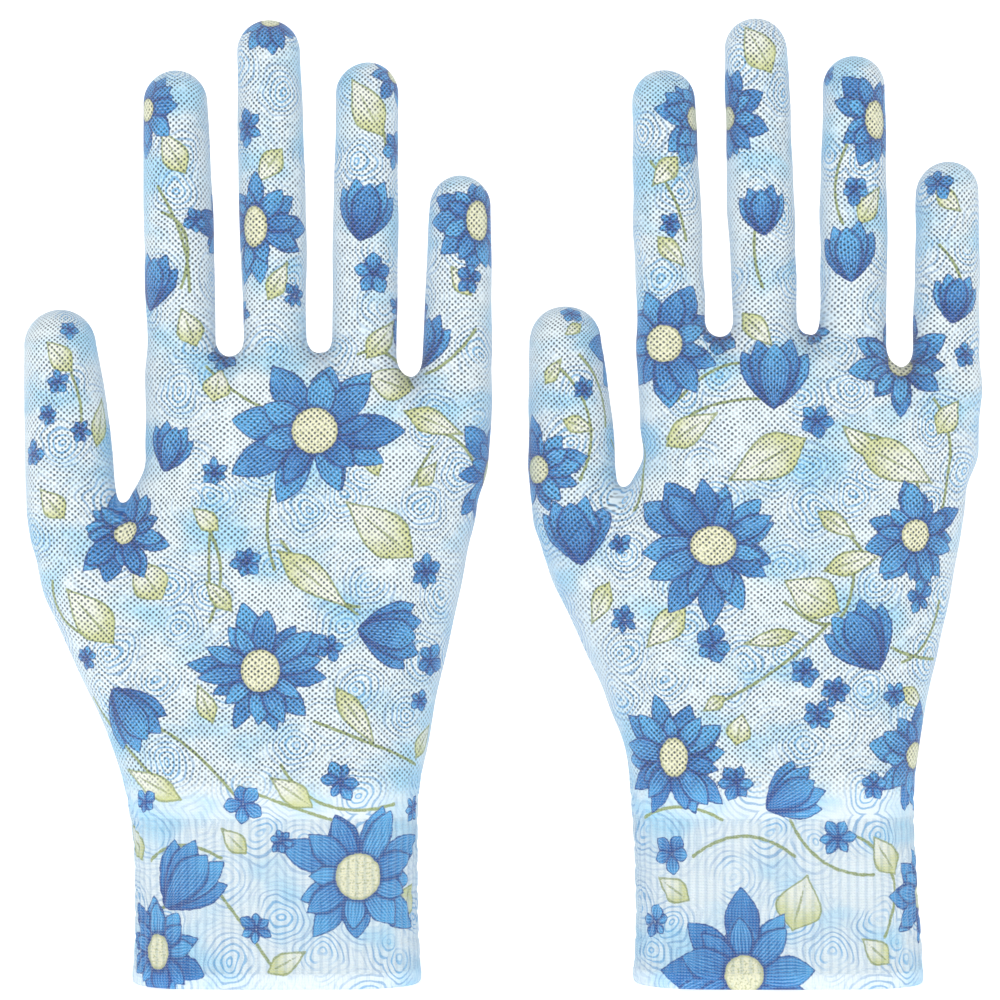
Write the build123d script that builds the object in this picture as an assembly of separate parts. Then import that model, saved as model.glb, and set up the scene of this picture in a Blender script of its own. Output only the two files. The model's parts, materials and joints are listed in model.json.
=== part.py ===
from build123d import *
import os
from dataclasses import dataclass

# A pair of seamless-knit gardening gloves, filled out as if worn and standing on their hems.
# Millimetres. X runs across the pair, Y through the thickness and Z up along the fingers.
# The left glove turns its palm to -Y and the right glove turns its palm to +Y, so both
# thumbs are on the -X side. Each glove is drawn about its own cuff centre line, then moved.

# Knit and joints
WALL = 1.0  # thickness of the knit
JOINT_GAP = 0.4  # slit between two segments, across their flex line
MID_SHARE = 0.36  # middle flex line, from a finger's root to its tip
TIP_SHARE = 0.67  # last flex line, likewise
THUMB_SHARE = 0.45  # the thumb's second flex line

# Cuff and hem
CUFF_WIDTH = 68.0
CUFF_DEPTH = 30.0
CUFF_TOP = 40.0
HEM_HEIGHT = 3.5  # overlocked edge that the glove stands on
HEM_PROUD = 0.3  # how far the overlock stands out on each side of the knit
CORNER_SHARE = 0.49  # corner radius over depth, in the cuff and the palm
ELASTIC_SIZE = 0.5  # laid-in elastic yarn, square in section
ELASTIC_CLEAR = 0.03  # between the yarn and the rib's inner face
ELASTIC_COUNT = 7
ELASTIC_PITCH = 4.8
ELASTIC_START = 8.0

# Palm
PALM_TOP_DEPTH = 17.4  # where the palm closes between the fingers
PALM_TOP_MARGIN = 0.5  # how far it stands out past the outer fingers there
STUB_SINK = 14.0  # how far a finger's root stub reaches down inside the palm
THUMB_BALL_RADIUS = 10.6  # thumb's root, where it leaves the palm
THUMB_HEEL_RADIUS = 13.0  # lower end of the thumb's root, inside the palm
THUMB_HEEL_Z = 52.0
THUMB_HEEL_INSET = 24.5  # thumb's heel from its root joint, across the palm
THUMB_STUB = 12.0  # straight part of the thumb's root below its joint
THUMB_OFFSET = 3.0  # the thumb sits this far towards the palm's face
OVERSIZE = 400.0  # side of a cutting block


@dataclass
class Stall:
    """One finger or thumb stall, straight from its root flex line to its tip."""

    name: str
    root_x: float
    root_z: float
    tip_x: float
    tip_z: float
    root_radius: float
    tip_radius: float
    shares: tuple
    parts: tuple
    offset: float = 0.0  # towards the palm's face


@dataclass
class Section:
    """One level of the palm: its height, its two edges and its depth."""

    z: float
    left: float
    right: float
    depth: float


@dataclass
class Glove:
    side: str
    centre_x: float
    palm_side: int  # -1 when the palm faces -Y, +1 when it faces +Y
    stalls: tuple
    sections: tuple
    top_left_z: float  # palm's closed top, at the index finger's edge
    top_right_z: float  # the same at the little finger's edge


FINGER_SHARES = (MID_SHARE, TIP_SHARE)
FINGER_PARTS = ("root", "mid", "tip")


def finger(name, root_x, root_z, tip_x, tip_z, radius):
    tip_radius = 0.96 * radius
    return Stall(
        name, root_x, root_z, tip_x, tip_z, radius, tip_radius, FINGER_SHARES, FINGER_PARTS
    )


def thumb(root_x, root_z, tip_x, tip_z):
    return Stall(
        "thumb", root_x, root_z, tip_x, tip_z, THUMB_BALL_RADIUS, 8.9,
        (THUMB_SHARE,), ("root", "tip"), THUMB_OFFSET,
    )  # fmt: skip


LEFT = Glove(
    side="left",
    centre_x=-53.7,
    palm_side=-1,
    stalls=(
        thumb(-48.7, 114.5, -52.9, 160.8),
        finger("index", -22.8, 154.4, -24.4, 218.4, 8.3),
        finger("middle", -0.3, 153.9, -2.0, 230.4, 7.9),
        finger("ring", 21.2, 153.4, 22.0, 220.3, 7.8),
        finger("little", 43.4, 148.6, 44.5, 193.2, 8.0),
    ),
    sections=(
        Section(54.0, -37.5, 35.6, 29.0),
        Section(72.0, -41.0, 39.6, 28.0),
        Section(92.0, -39.5, 44.2, 27.0),
        Section(110.0, -36.4, 48.1, 27.0),
        Section(130.0, -32.8, 50.8, 24.0),
    ),
    top_left_z=153.2,
    top_right_z=143.6,
)

RIGHT = Glove(
    side="right",
    centre_x=66.4,
    palm_side=1,
    stalls=(
        thumb(-48.6, 119.0, -52.2, 162.0),
        finger("index", -25.4, 158.4, -27.6, 218.4, 8.2),
        finger("middle", -2.8, 157.7, -5.5, 230.9, 7.9),
        finger("ring", 18.4, 157.1, 18.6, 221.8, 7.9),
        finger("little", 40.8, 151.6, 41.1, 196.6, 8.0),
    ),
    sections=(
        Section(54.0, -35.4, 33.4, 29.0),
        Section(72.0, -38.6, 36.8, 28.0),
        Section(92.0, -38.0, 41.2, 27.0),
        Section(114.0, -36.2, 45.6, 27.0),
        Section(134.0, -34.2, 48.2, 24.0),
    ),
    top_left_z=157.2,
    top_right_z=147.4,
)


def stall_ends(glove, stall):
    """The stall's root and tip on its centre line."""
    y = glove.palm_side * stall.offset
    root = Vector(stall.root_x, y, stall.root_z)
    return root, Vector(stall.tip_x, y, stall.tip_z)


def joint_distances(stall, length):
    """Where the stall's flex lines are, from its root along its centre line."""
    return [0.0] + [share * length for share in stall.shares]


def radius_at(stall, distance, length):
    """Outer radius of the straight part of a stall, and of the plane through its dome."""
    straight = length - stall.tip_radius
    share = min(distance / straight, 1.0)
    return stall.root_radius + share * (stall.tip_radius - stall.root_radius)


def hinges(glove):
    """Each flex line: its name, a point on its axis, and the axis that curls towards the palm."""
    palm = Vector(0, glove.palm_side, 0)
    found = []
    for stall in glove.stalls:
        root, tip = stall_ends(glove, stall)
        along = (tip - root).normalized()
        length = (tip - root).length
        for part, distance in zip(stall.parts, joint_distances(stall, length)):
            point = root + along * distance + palm * radius_at(stall, distance, length)
            point += Vector(glove.centre_x, 0, 0)
            found.append((f"{glove.side}_{stall.name}_{part}", point, along.cross(palm)))
    return found


def upright(origin, direction):
    """A plane at origin whose normal is the direction and whose Y stays the model's Y."""
    return Plane(origin=origin, x_dir=Vector(0, 1, 0).cross(direction), z_dir=direction)


def stall_solid(glove, stall, inset, below):
    """A stall's body of revolution, smaller all round by inset and started below its root."""
    root, tip = stall_ends(glove, stall)
    length = (tip - root).length
    root_radius = stall.root_radius - inset
    tip_radius = stall.tip_radius - inset
    shoulder = length - stall.tip_radius
    outline = [
        Line((0, -below), (root_radius, -below)),
        Line((root_radius, -below), (tip_radius, shoulder)),
        CenterArc((0, shoulder), tip_radius, 0, 90),
        Line((0, length - inset), (0, -below)),
    ]
    profile = Plane.XZ * make_face(outline)
    return upright(root, tip - root) * revolve(profile, Axis.Z, 360)


def slab(glove, stall, low, high):
    """A block that holds all of a stall between two distances along its centre line."""
    root, tip = stall_ends(glove, stall)
    block = Box(OVERSIZE, OVERSIZE, high - low, align=(Align.CENTER, Align.CENTER, Align.MIN))
    return upright(root, tip - root) * Pos(0, 0, low) * block


def stall_segments(glove, stall):
    """The stall's hollow segments, each open at its flex lines, the last one closed."""
    shell = stall_solid(glove, stall, 0, 0) - stall_solid(glove, stall, WALL, 1.0)
    root, tip = stall_ends(glove, stall)
    length = (tip - root).length
    starts = joint_distances(stall, length)
    ends = starts[1:] + [length + 1.0]
    segments = {}
    for part, low, high in zip(stall.parts, starts, ends):
        cutter = slab(glove, stall, low + JOINT_GAP / 2, high - JOINT_GAP / 2)
        segments[f"{stall.name}_{part}"] = shell & cutter
    return segments


def rounded(left, right, depth, z, slope=0.0, inset=0.0):
    """A flat-sided oval section, level or sloping down towards +X."""
    centre = Vector((left + right) / 2, 0, z)
    width = right - left - 2 * inset
    radius = CORNER_SHARE * depth - inset
    plane = Plane(origin=centre, x_dir=(1, 0, -slope), z_dir=(slope, 0, 1))
    return plane * RectangleRounded(width, depth - 2 * inset, radius)


def palm_block(glove, inset, below):
    """The palm's loft from the cuff to the crotch line, smaller all round by inset."""
    half = CUFF_WIDTH / 2
    index, little = glove.stalls[1], glove.stalls[-1]
    left = index.root_x - index.root_radius - PALM_TOP_MARGIN
    right = little.root_x + little.root_radius + PALM_TOP_MARGIN
    slope = (glove.top_left_z - glove.top_right_z) / (right - left)
    middle_z = (glove.top_left_z + glove.top_right_z) / 2 - inset
    levels = [rounded(-half, half, CUFF_DEPTH, CUFF_TOP, inset=inset)]
    for level in glove.sections:
        levels.append(rounded(level.left, level.right, level.depth, level.z, inset=inset))
    levels.append(rounded(left, right, PALM_TOP_DEPTH, middle_z, slope, inset))
    block = loft(levels)
    if below:
        block += extrude(rounded(-half, half, CUFF_DEPTH, CUFF_TOP, inset=inset), -below)
    return block


def finger_stub(glove, stall, inset, above):
    """The root of a finger stall, standing in the palm and cut at the root flex line."""
    root, tip = stall_ends(glove, stall)
    height = STUB_SINK - JOINT_GAP / 2 + above
    stub = Cylinder(
        stall.root_radius - inset, height, align=(Align.CENTER, Align.CENTER, Align.MIN)
    )
    return upright(root, tip - root) * Pos(0, 0, -STUB_SINK) * stub


def thumb_root(glove, stall, inset, above):
    """The thumb's root: a cone that rises out of the palm, an elbow, and a straight stub."""
    root, tip = stall_ends(glove, stall)
    along = (tip - root).normalized()
    elbow = root - along * THUMB_STUB
    heel = Vector(root.X + THUMB_HEEL_INSET, 0, THUMB_HEEL_Z)
    ball = THUMB_BALL_RADIUS - inset
    base = (Align.CENTER, Align.CENTER, Align.MIN)
    cone = Cone(THUMB_HEEL_RADIUS - inset, ball, (elbow - heel).length, align=base)
    stub = Cylinder(ball, THUMB_STUB - JOINT_GAP / 2 + above, align=base)
    return (
        upright(heel, elbow - heel) * cone
        + Pos(*elbow) * Sphere(ball)
        + upright(elbow, along) * stub
    )


def palm(glove):
    outer = palm_block(glove, 0, 0) + thumb_root(glove, glove.stalls[0], 0, 0)
    inner = palm_block(glove, WALL, 1.0) + thumb_root(glove, glove.stalls[0], WALL, 1.0)
    for stall in glove.stalls[1:]:
        outer += finger_stub(glove, stall, 0, 0)
        inner += finger_stub(glove, stall, WALL, 1.0)
    return outer - inner


def cuff_ring(outer_inset, inner_inset, low, high):
    """A straight ring of the cuff's section between two heights."""
    half = CUFF_WIDTH / 2
    outline = rounded(-half, half, CUFF_DEPTH, low, inset=outer_inset)
    outline -= rounded(-half, half, CUFF_DEPTH, low, inset=inner_inset)
    return extrude(outline, high - low)


def cuff_elastic():
    """Elastic yarns laid in on the inner face of the rib."""
    rings = []
    for number in range(ELASTIC_COUNT):
        low = ELASTIC_START + number * ELASTIC_PITCH
        outer = WALL + ELASTIC_CLEAR
        rings.append(cuff_ring(outer, outer + ELASTIC_SIZE, low, low + ELASTIC_SIZE))
    return Compound(children=rings)


def glove_nodes(glove):
    """Every sub-part of one glove, about the glove's own centre line."""
    nodes = {
        "palm": palm(glove),
        "cuff_rib": cuff_ring(0, WALL, HEM_HEIGHT, CUFF_TOP),
        "cuff_elastic": cuff_elastic(),
        "hem_overlock": cuff_ring(-HEM_PROUD, WALL + HEM_PROUD, 0, HEM_HEIGHT),
    }
    for stall in glove.stalls:
        nodes.update(stall_segments(glove, stall))
    return nodes


def build():
    """Both gloves, each node moved to its glove's place in the pair."""
    placed = {}
    for glove in (LEFT, RIGHT):
        for name, shape in glove_nodes(glove).items():
            placed[f"{glove.side}_{name}"] = Pos(glove.centre_x, 0, 0) * shape
    return placed


os.makedirs("parts", exist_ok=True)
for node, shape in build().items():
    export_step(shape, f"parts/{node}.step")
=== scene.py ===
import json
import math
from dataclasses import dataclass

import bpy
import numpy as np
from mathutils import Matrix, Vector


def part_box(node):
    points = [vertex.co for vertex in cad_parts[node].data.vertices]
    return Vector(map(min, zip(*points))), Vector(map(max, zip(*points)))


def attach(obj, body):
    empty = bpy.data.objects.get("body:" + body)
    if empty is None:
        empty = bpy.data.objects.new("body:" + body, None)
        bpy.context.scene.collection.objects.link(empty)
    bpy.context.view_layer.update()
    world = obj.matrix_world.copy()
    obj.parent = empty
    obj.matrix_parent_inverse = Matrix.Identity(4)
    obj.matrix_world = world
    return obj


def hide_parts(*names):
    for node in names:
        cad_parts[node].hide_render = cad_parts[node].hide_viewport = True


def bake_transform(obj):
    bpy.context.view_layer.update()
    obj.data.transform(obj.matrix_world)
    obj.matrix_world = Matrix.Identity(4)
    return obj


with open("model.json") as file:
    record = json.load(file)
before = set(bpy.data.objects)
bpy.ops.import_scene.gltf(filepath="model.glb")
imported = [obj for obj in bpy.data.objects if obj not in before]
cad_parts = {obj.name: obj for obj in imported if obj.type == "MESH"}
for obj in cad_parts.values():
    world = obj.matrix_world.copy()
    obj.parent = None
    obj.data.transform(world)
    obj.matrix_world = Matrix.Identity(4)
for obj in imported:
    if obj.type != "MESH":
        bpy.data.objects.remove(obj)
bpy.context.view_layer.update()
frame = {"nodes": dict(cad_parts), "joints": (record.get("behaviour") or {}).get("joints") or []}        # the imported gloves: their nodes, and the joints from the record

# Both gloves are drawn in millimetres about their own cuff centre line, X across the hand with the
# thumb at -X, Y through the hand and Z up the fingers. The viewer's side is -Y. Each is moved to its
# CAD place, and turned into metres, when its mesh is made.

MM = 0.001
GLOVES = ("left", "right")
FINGERS = ("index", "middle", "ring", "little")
PALM_SIDE = {"left": -1, "right": 1}  # the left glove's palm faces the viewer


# ---------------------------------------------------------------- places read from the CAD frame


@dataclass
class Stall:
    """A finger or thumb stall's straight centre line, from its root flex line to its tip."""

    name: str
    root: np.ndarray
    tip: np.ndarray
    hinges: list  # distances of its flex lines from the root
    parts: list

    @property
    def along(self):
        line = self.tip - self.root
        return line / np.linalg.norm(line)


def box_mm(node):
    low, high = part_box(node)
    return np.array(low) / MM, np.array(high) / MM


def read_stall(side, name, centre):
    parts = ["root", "tip"] if name == "thumb" else ["root", "mid", "tip"]
    low, high = box_mm(f"{side}_{name}_root")
    first = (low + high) / 2
    tip_low, tip_high = box_mm(f"{side}_{name}_tip")
    last = (tip_low + tip_high) / 2
    lean = (last - first) / (last - first)[2]
    joints = {joint["name"]: joint for joint in frame["joints"]}
    heights = [joints[f"{side}_{name}_{part}_bend"]["pos_m"][2] / MM for part in parts]
    root = first + lean * (heights[0] - first[2]) - centre
    tip = last + lean * (tip_high[2] - last[2]) - centre
    length = np.linalg.norm(tip - root)
    share = length / (tip - root)[2]
    return Stall(name, root, tip, [(z - heights[0]) * share for z in heights], parts)


def glove_centre(side):
    low, high = box_mm(f"{side}_cuff_rib")
    return np.array([(low[0] + high[0]) / 2, 0.0, 0.0])


# ---------------------------------------------------------------- the filled-out shape


@dataclass
class Shape:
    """What a glove's outline needs beyond its stalls, in millimetres from its cuff's centre."""

    levels: list  # (height, left edge, right edge, depth) of the hand, the thumb's root included
    crotches: list  # (across, height) of the gaps between the fingers
    radii: dict  # each stall's radius at its root, middle and tip
    thumb_base: list  # (across, height, radius) down the thumb's root


SHAPES = {
    "left": Shape(
        levels=[
            (-4, -34.4, 34.9, 30), (14, -33.7, 34.0, 30), (30, -33.9, 33.8, 29.6),
            (44, -35.6, 34.2, 29), (56, -38.4, 36.2, 28.4), (70, -44.2, 38.9, 28),
            (86, -50.6, 42.4, 27.6), (97, -53.9, 44.8, 27), (104, -49.5, 46.2, 27),
            (111, -38.5, 47.8, 26.6), (120, -32.7, 48.4, 26), (132, -30.0, 49.1, 24.4),
            (142, -29.6, 50.2, 22), (152, -30.4, 51.1, 19.4), (170, -30.9, 51.3, 18),
        ],
        crotches=[(-11.7, 151.8), (10.9, 152.4), (32.5, 146.5)],
        radii={
            "thumb": (10.7, 10.2, 8.6), "index": (8.2, 8.4, 7.7), "middle": (7.4, 8.0, 7.5),
            "ring": (7.7, 7.8, 7.4), "little": (8.3, 8.0, 7.3),
        },
        thumb_base=[(-25.0, 56, 9.6), (-39.6, 86, 10.0)],
    ),
    "right": Shape(
        levels=[
            (-4, -34.6, 35.2, 30), (14, -33.7, 34.0, 30), (30, -33.9, 33.2, 29.6),
            (44, -34.9, 32.6, 29), (56, -35.8, 33.9, 28.4), (70, -39.9, 36.3, 28),
            (86, -47.0, 40.0, 27.6), (98, -51.9, 42.4, 27), (107, -50.5, 43.9, 27),
            (115, -38.5, 45.0, 26.6), (124, -32.6, 45.4, 26), (136, -30.9, 46.2, 24.4),
            (146, -31.2, 47.4, 22), (156, -32.6, 48.4, 19.4), (174, -33.4, 48.6, 18),
        ],
        crotches=[(-14.2, 156.4), (7.4, 156.4), (29.7, 149.2)],
        radii={
            "thumb": (10.6, 10.1, 8.6), "index": (8.1, 8.2, 7.5), "middle": (7.6, 8.0, 7.5),
            "ring": (7.9, 8.0, 7.4), "little": (7.9, 7.8, 7.4),
        },
        thumb_base=[(-23.5, 56, 9.6), (-37.6, 88, 10.0)],
    ),
}

CUFF_TOP = 47.0
THUMB_TOWARDS_PALM = 3.0
KNUCKLE_DEPTH = 24.0  # how far each finger's form runs down inside the palm
CROTCH_ROUND = 5.0
CROTCH_SINK = 2.2  # the palm's own top below a gap's bottom, which the rounding fills up to
PALM_TOP_ROUND = 9.0
THUMB_ROUND = 6.0
CUFF_CROWN = 0.5  # how much of the palm's oval the cuff has
THUMB_REACH = 0.0  # nothing across from here belongs to the thumb
FLAT_CORNER = 0.98  # the cuff's corner radius over half its depth
OVAL_POWER = 2.9  # the palm's squareness


def smooth_curve(x, points, column):
    """Catmull-Rom through the given points (the first column is x)."""
    table = np.array(points, float)
    xs, ys = table[:, 0], table[:, column]
    slopes = np.gradient(ys, xs)
    x = np.clip(x, xs[0], xs[-1])
    i = np.clip(np.searchsorted(xs, x) - 1, 0, len(xs) - 2)
    width = xs[i + 1] - xs[i]
    t = (x - xs[i]) / width
    cubic = (2 * t**3 - 3 * t**2 + 1) * ys[i] + (t**3 - 2 * t**2 + t) * width * slopes[i]
    return cubic + (3 * t**2 - 2 * t**3) * ys[i + 1] + (t**3 - t**2) * width * slopes[i + 1]


def ease(t):
    t = np.clip(t, 0.0, 1.0)
    return t * t * (3 - 2 * t)


def soft_min(a, b, width):
    h = np.maximum(width - np.abs(a - b), 0) / width
    return np.minimum(a, b) - h * h * width / 4


def soft_max(a, b, width):
    return -soft_min(-a, -b, width)


def smooth_chain(points, radii):
    """A chain of tubes bent smoothly through its points: many short tubes in their place."""
    reach = np.linspace(0, len(points) - 1, 4 * len(points) - 3)
    table = np.column_stack([np.arange(len(points)), np.array(points), radii])
    curved = [smooth_curve(reach, table, column) for column in range(1, 5)]
    return np.stack(curved[:3], 1), curved[3]


def chain_distance(p, points, radii):
    """Distance to a chain of round-ended tubes."""
    best = np.full(len(p), 1e3)
    for a, b, ra, rb in zip(points[:-1], points[1:], radii[:-1], radii[1:]):
        line = b - a
        t = np.clip(((p - a) @ line) / (line @ line), 0, 1)
        d = np.linalg.norm(p - a - t[:, None] * line, axis=1) - (ra + t * (rb - ra))
        best = np.minimum(best, d)
    return best


def finger_distance(p, start, end, radii):
    """Distance to one straight tube whose radius follows the given (share, radius) list."""
    line = end - start
    t = np.clip(((p - start) @ line) / (line @ line), 0, 1)
    away = np.linalg.norm(p - start - t[:, None] * line, axis=1)
    return away - smooth_curve(t, radii, 1)


def section(shape, z):
    """The hand's centre, half width and half depth at a height."""
    left = smooth_curve(z, shape.levels, 1)
    right = smooth_curve(z, shape.levels, 2)
    return (left + right) / 2, (right - left) / 2, smooth_curve(z, shape.levels, 3) / 2


def hand_distance(shape, p):
    """Distance to the cuff and palm, without the stalls."""
    centre, a, b = section(shape, p[:, 2])
    x, y = np.abs(p[:, 0] - centre), np.abs(p[:, 1])
    corner = FLAT_CORNER * b
    qx, qy = x - (a - corner), y - (b - corner)
    outside = np.hypot(np.maximum(qx, 0), np.maximum(qy, 0))
    flat = outside + np.minimum(np.maximum(qx, qy), 0) - corner
    u, v = x / a, y / b
    e = np.maximum((u**OVAL_POWER + v**OVAL_POWER) ** (1 / OVAL_POWER), 0.05)
    gx = (u / e) ** (OVAL_POWER - 1) / a
    gy = (v / e) ** (OVAL_POWER - 1) / b
    oval = (e - 1) / np.maximum(np.hypot(gx, gy), 1e-3)
    palm = CUFF_CROWN + (1 - CUFF_CROWN) * ease((p[:, 2] - CUFF_TOP + 8) / 26)
    return flat + palm * (np.maximum(oval, -b) - flat)


def stall_distance(shape, stall, palm_side, p):
    root_r, mid_r, tip_r = shape.radii[stall.name]
    end = stall.tip - stall.along * tip_r
    if stall.name != "thumb":
        start = stall.root - stall.along * KNUCKLE_DEPTH
        share = KNUCKLE_DEPTH / np.linalg.norm(end - start)
        middle = share + (1 - share) * 0.45
        radii = [(0, root_r - 0.5), (share, root_r), (middle, mid_r), (1, tip_r)]
        return finger_distance(p, start, end, radii)
    y = palm_side * THUMB_TOWARDS_PALM
    base = [np.array([x, y * share, z]) for (x, z, _), share in zip(shape.thumb_base, (0.2, 0.8))]
    elbow = stall.root - stall.along * 7
    middle = stall.root + (end - stall.root) * 0.45
    radii = [r for _, _, r in shape.thumb_base] + [root_r, mid_r, tip_r]
    points, radii = smooth_chain(base + [elbow, middle, end], radii)
    near = p[:, 0] < THUMB_REACH
    found = np.full(len(p), 1e3)
    found[near] = chain_distance(p[near], points, radii)
    return found


def above_gaps(shape, p):
    """Height above the palm's own top, which follows the bottoms of the gaps between the fingers."""
    across, heights = np.array(shape.crotches).T
    return p[:, 2] - np.interp(p[:, 0], across, heights) + CROTCH_SINK


def distance(shape, stalls, palm_side, p):
    """Signed distance to a glove's outer face, about its cuff's centre line."""
    hand = soft_max(hand_distance(shape, p), above_gaps(shape, p), PALM_TOP_ROUND)
    whole = hand
    for stall in stalls:
        round_by = THUMB_ROUND if stall.name == "thumb" else CROTCH_ROUND
        whole = soft_min(whole, stall_distance(shape, stall, palm_side, p), round_by)
    return whole


# ---------------------------------------------------------------- from the shape to a mesh

CELL = 0.9  # before one subdivision
GRID_LOW, GRID_HIGH = (-68.0, -19.5, 0.6), (58.0, 19.5, 234.0)
SIDES = ((1, 2), (2, 0), (0, 1))


def corner(values, offset):
    """The grid's values at one corner of every cell."""
    return values[tuple(slice(o, values.shape[i] - 1 + o) for i, o in enumerate(offset))]


def surface_net(values, low, cell):
    """Quads over the grid's zero level, one vertex a crossed cell."""
    inside = values < 0
    offsets = [(i, j, k) for i in (0, 1) for j in (0, 1) for k in (0, 1)]
    count = sum(corner(inside, o).astype(np.int8) for o in offsets)
    crossed = (count > 0) & (count < 8)
    cells = np.argwhere(crossed)
    number = np.full(crossed.shape, -1, np.int64)
    number[crossed] = np.arange(len(cells))
    total, hits = np.zeros((len(cells), 3)), np.zeros(len(cells))
    for a in offsets:
        for axis in range(3):
            if a[axis]:
                continue
            b = tuple(1 if i == axis else a[i] for i in range(3))
            va, vb = corner(values, a)[crossed], corner(values, b)[crossed]
            hit = (va < 0) != (vb < 0)
            share = np.where(hit, va / np.where(hit, va - vb, 1), 0)
            point = np.array(a, float) + share[:, None] * np.eye(3)[axis]
            total += point * hit[:, None]
            hits += hit
    verts = np.array(low) + cell * (cells + total / hits[:, None])
    quads = []
    for axis, (u, v) in enumerate(SIDES):
        inner = [slice(1, -1)] * 3
        inner[axis] = slice(0, -1)
        ahead = [slice(1, -1)] * 3
        ahead[axis] = slice(1, None)
        start, end = inside[tuple(inner)], inside[tuple(ahead)]
        where = np.argwhere(start != end)
        leaving = start[start != end]
        where[:, u] += 1
        where[:, v] += 1
        around = []
        for du, dv in ((1, 1), (0, 1), (0, 0), (1, 0)):
            at = where.copy()
            at[:, u] -= du
            at[:, v] -= dv
            around.append(number[tuple(at.T)])
        quad = np.stack(around, 1)
        quad[~leaving] = quad[~leaving][:, ::-1]
        quads.append(quad)
    return verts, np.concatenate(quads)


def subdivide(verts, quads):
    """Each quad into four, with no smoothing."""
    edges = np.sort(np.stack([quads, np.roll(quads, -1, 1)], 2).reshape(-1, 2), 1)
    unique, inverse = np.unique(edges, axis=0, return_inverse=True)
    middles = verts[unique].mean(1)
    centres = verts[quads].mean(1)
    e = len(verts) + inverse.reshape(-1, 4)
    c = len(verts) + len(unique) + np.arange(len(quads))
    parts = [np.stack([quads[:, i], e[:, i], c, e[:, i - 1]], 1) for i in range(4)]
    return np.concatenate([verts, middles, centres]), np.concatenate(parts)


def relax(verts, quads, amount):
    """Each vertex moved part of the way to the mean of its neighbours, the open rim left alone."""
    total, count = np.zeros_like(verts), np.zeros(len(verts))
    for i in range(4):
        a, b = quads[:, i], quads[:, (i + 1) % 4]
        for one, other in ((a, b), (b, a)):
            for axis in range(3):
                total[:, axis] += np.bincount(one, verts[other, axis], len(verts))
            count += np.bincount(one, minlength=len(verts))
    moved = verts + amount * (total / count[:, None] - verts)
    rim = verts[:, 2] < GRID_LOW[2] + 1.2 * CELL
    return np.where(rim[:, None], verts, moved)


def pull_to_surface(verts, measure, rounds):
    """Newton steps onto the zero level, and the level's outward direction there."""
    step = 0.02
    for _ in range(rounds):
        value = measure(verts)
        slope = np.stack(
            [(measure(verts + step * np.eye(3)[i]) - value) / step for i in range(3)], 1
        )
        verts = verts - (value / np.maximum((slope**2).sum(1), 1e-4))[:, None] * slope
    return verts, slope / np.linalg.norm(slope, axis=1)[:, None]


def vertex_normals(verts, quads):
    a, b, c, d = (verts[quads[:, i]] for i in range(4))
    face = np.cross(c - a, d - b)
    total = np.zeros_like(verts)
    for i in range(4):
        for axis in range(3):
            total[:, axis] += np.bincount(quads[:, i], face[:, axis], len(verts))
    return total / np.maximum(np.linalg.norm(total, axis=1), 1e-12)[:, None]


def glove_surface(measure):
    """A glove's outer face as an even quad mesh."""
    counts = [int(round((h - l) / CELL)) + 1 for l, h in zip(GRID_LOW, GRID_HIGH)]
    axes = [l + CELL * np.arange(n) for l, n in zip(GRID_LOW, counts)]
    points = np.stack(np.meshgrid(*axes, indexing="ij"), -1).reshape(-1, 3)
    values = np.concatenate([measure(chunk) for chunk in np.array_split(points, 24)])
    verts, quads = surface_net(values.reshape(counts), GRID_LOW, CELL)
    verts, _ = pull_to_surface(verts, measure, 1)
    verts = relax(verts, quads, 0.6)
    verts, _ = pull_to_surface(verts, measure, 1)
    verts, quads = subdivide(verts, quads)
    verts = relax(verts, quads, 0.5)
    verts, normals = pull_to_surface(verts, measure, 2)
    return verts, quads, normals


# ---------------------------------------------------------------- the knit, unrolled


GAP_SIDES = {"thumb": (1,), "index": (1,), "middle": (-1, 1), "ring": (-1, 1), "little": (-1,)}
PRINT_BLEND = 1.2  # how softly a stall's print gives way to its neighbour's
GAP_FLAT = (1.0, 14.0)  # above a stall's root, where its print stops being laid flat over a gap
THUMB_PRINT_DROP = 9.0  # the thumb's own print starts this far below its root


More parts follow.
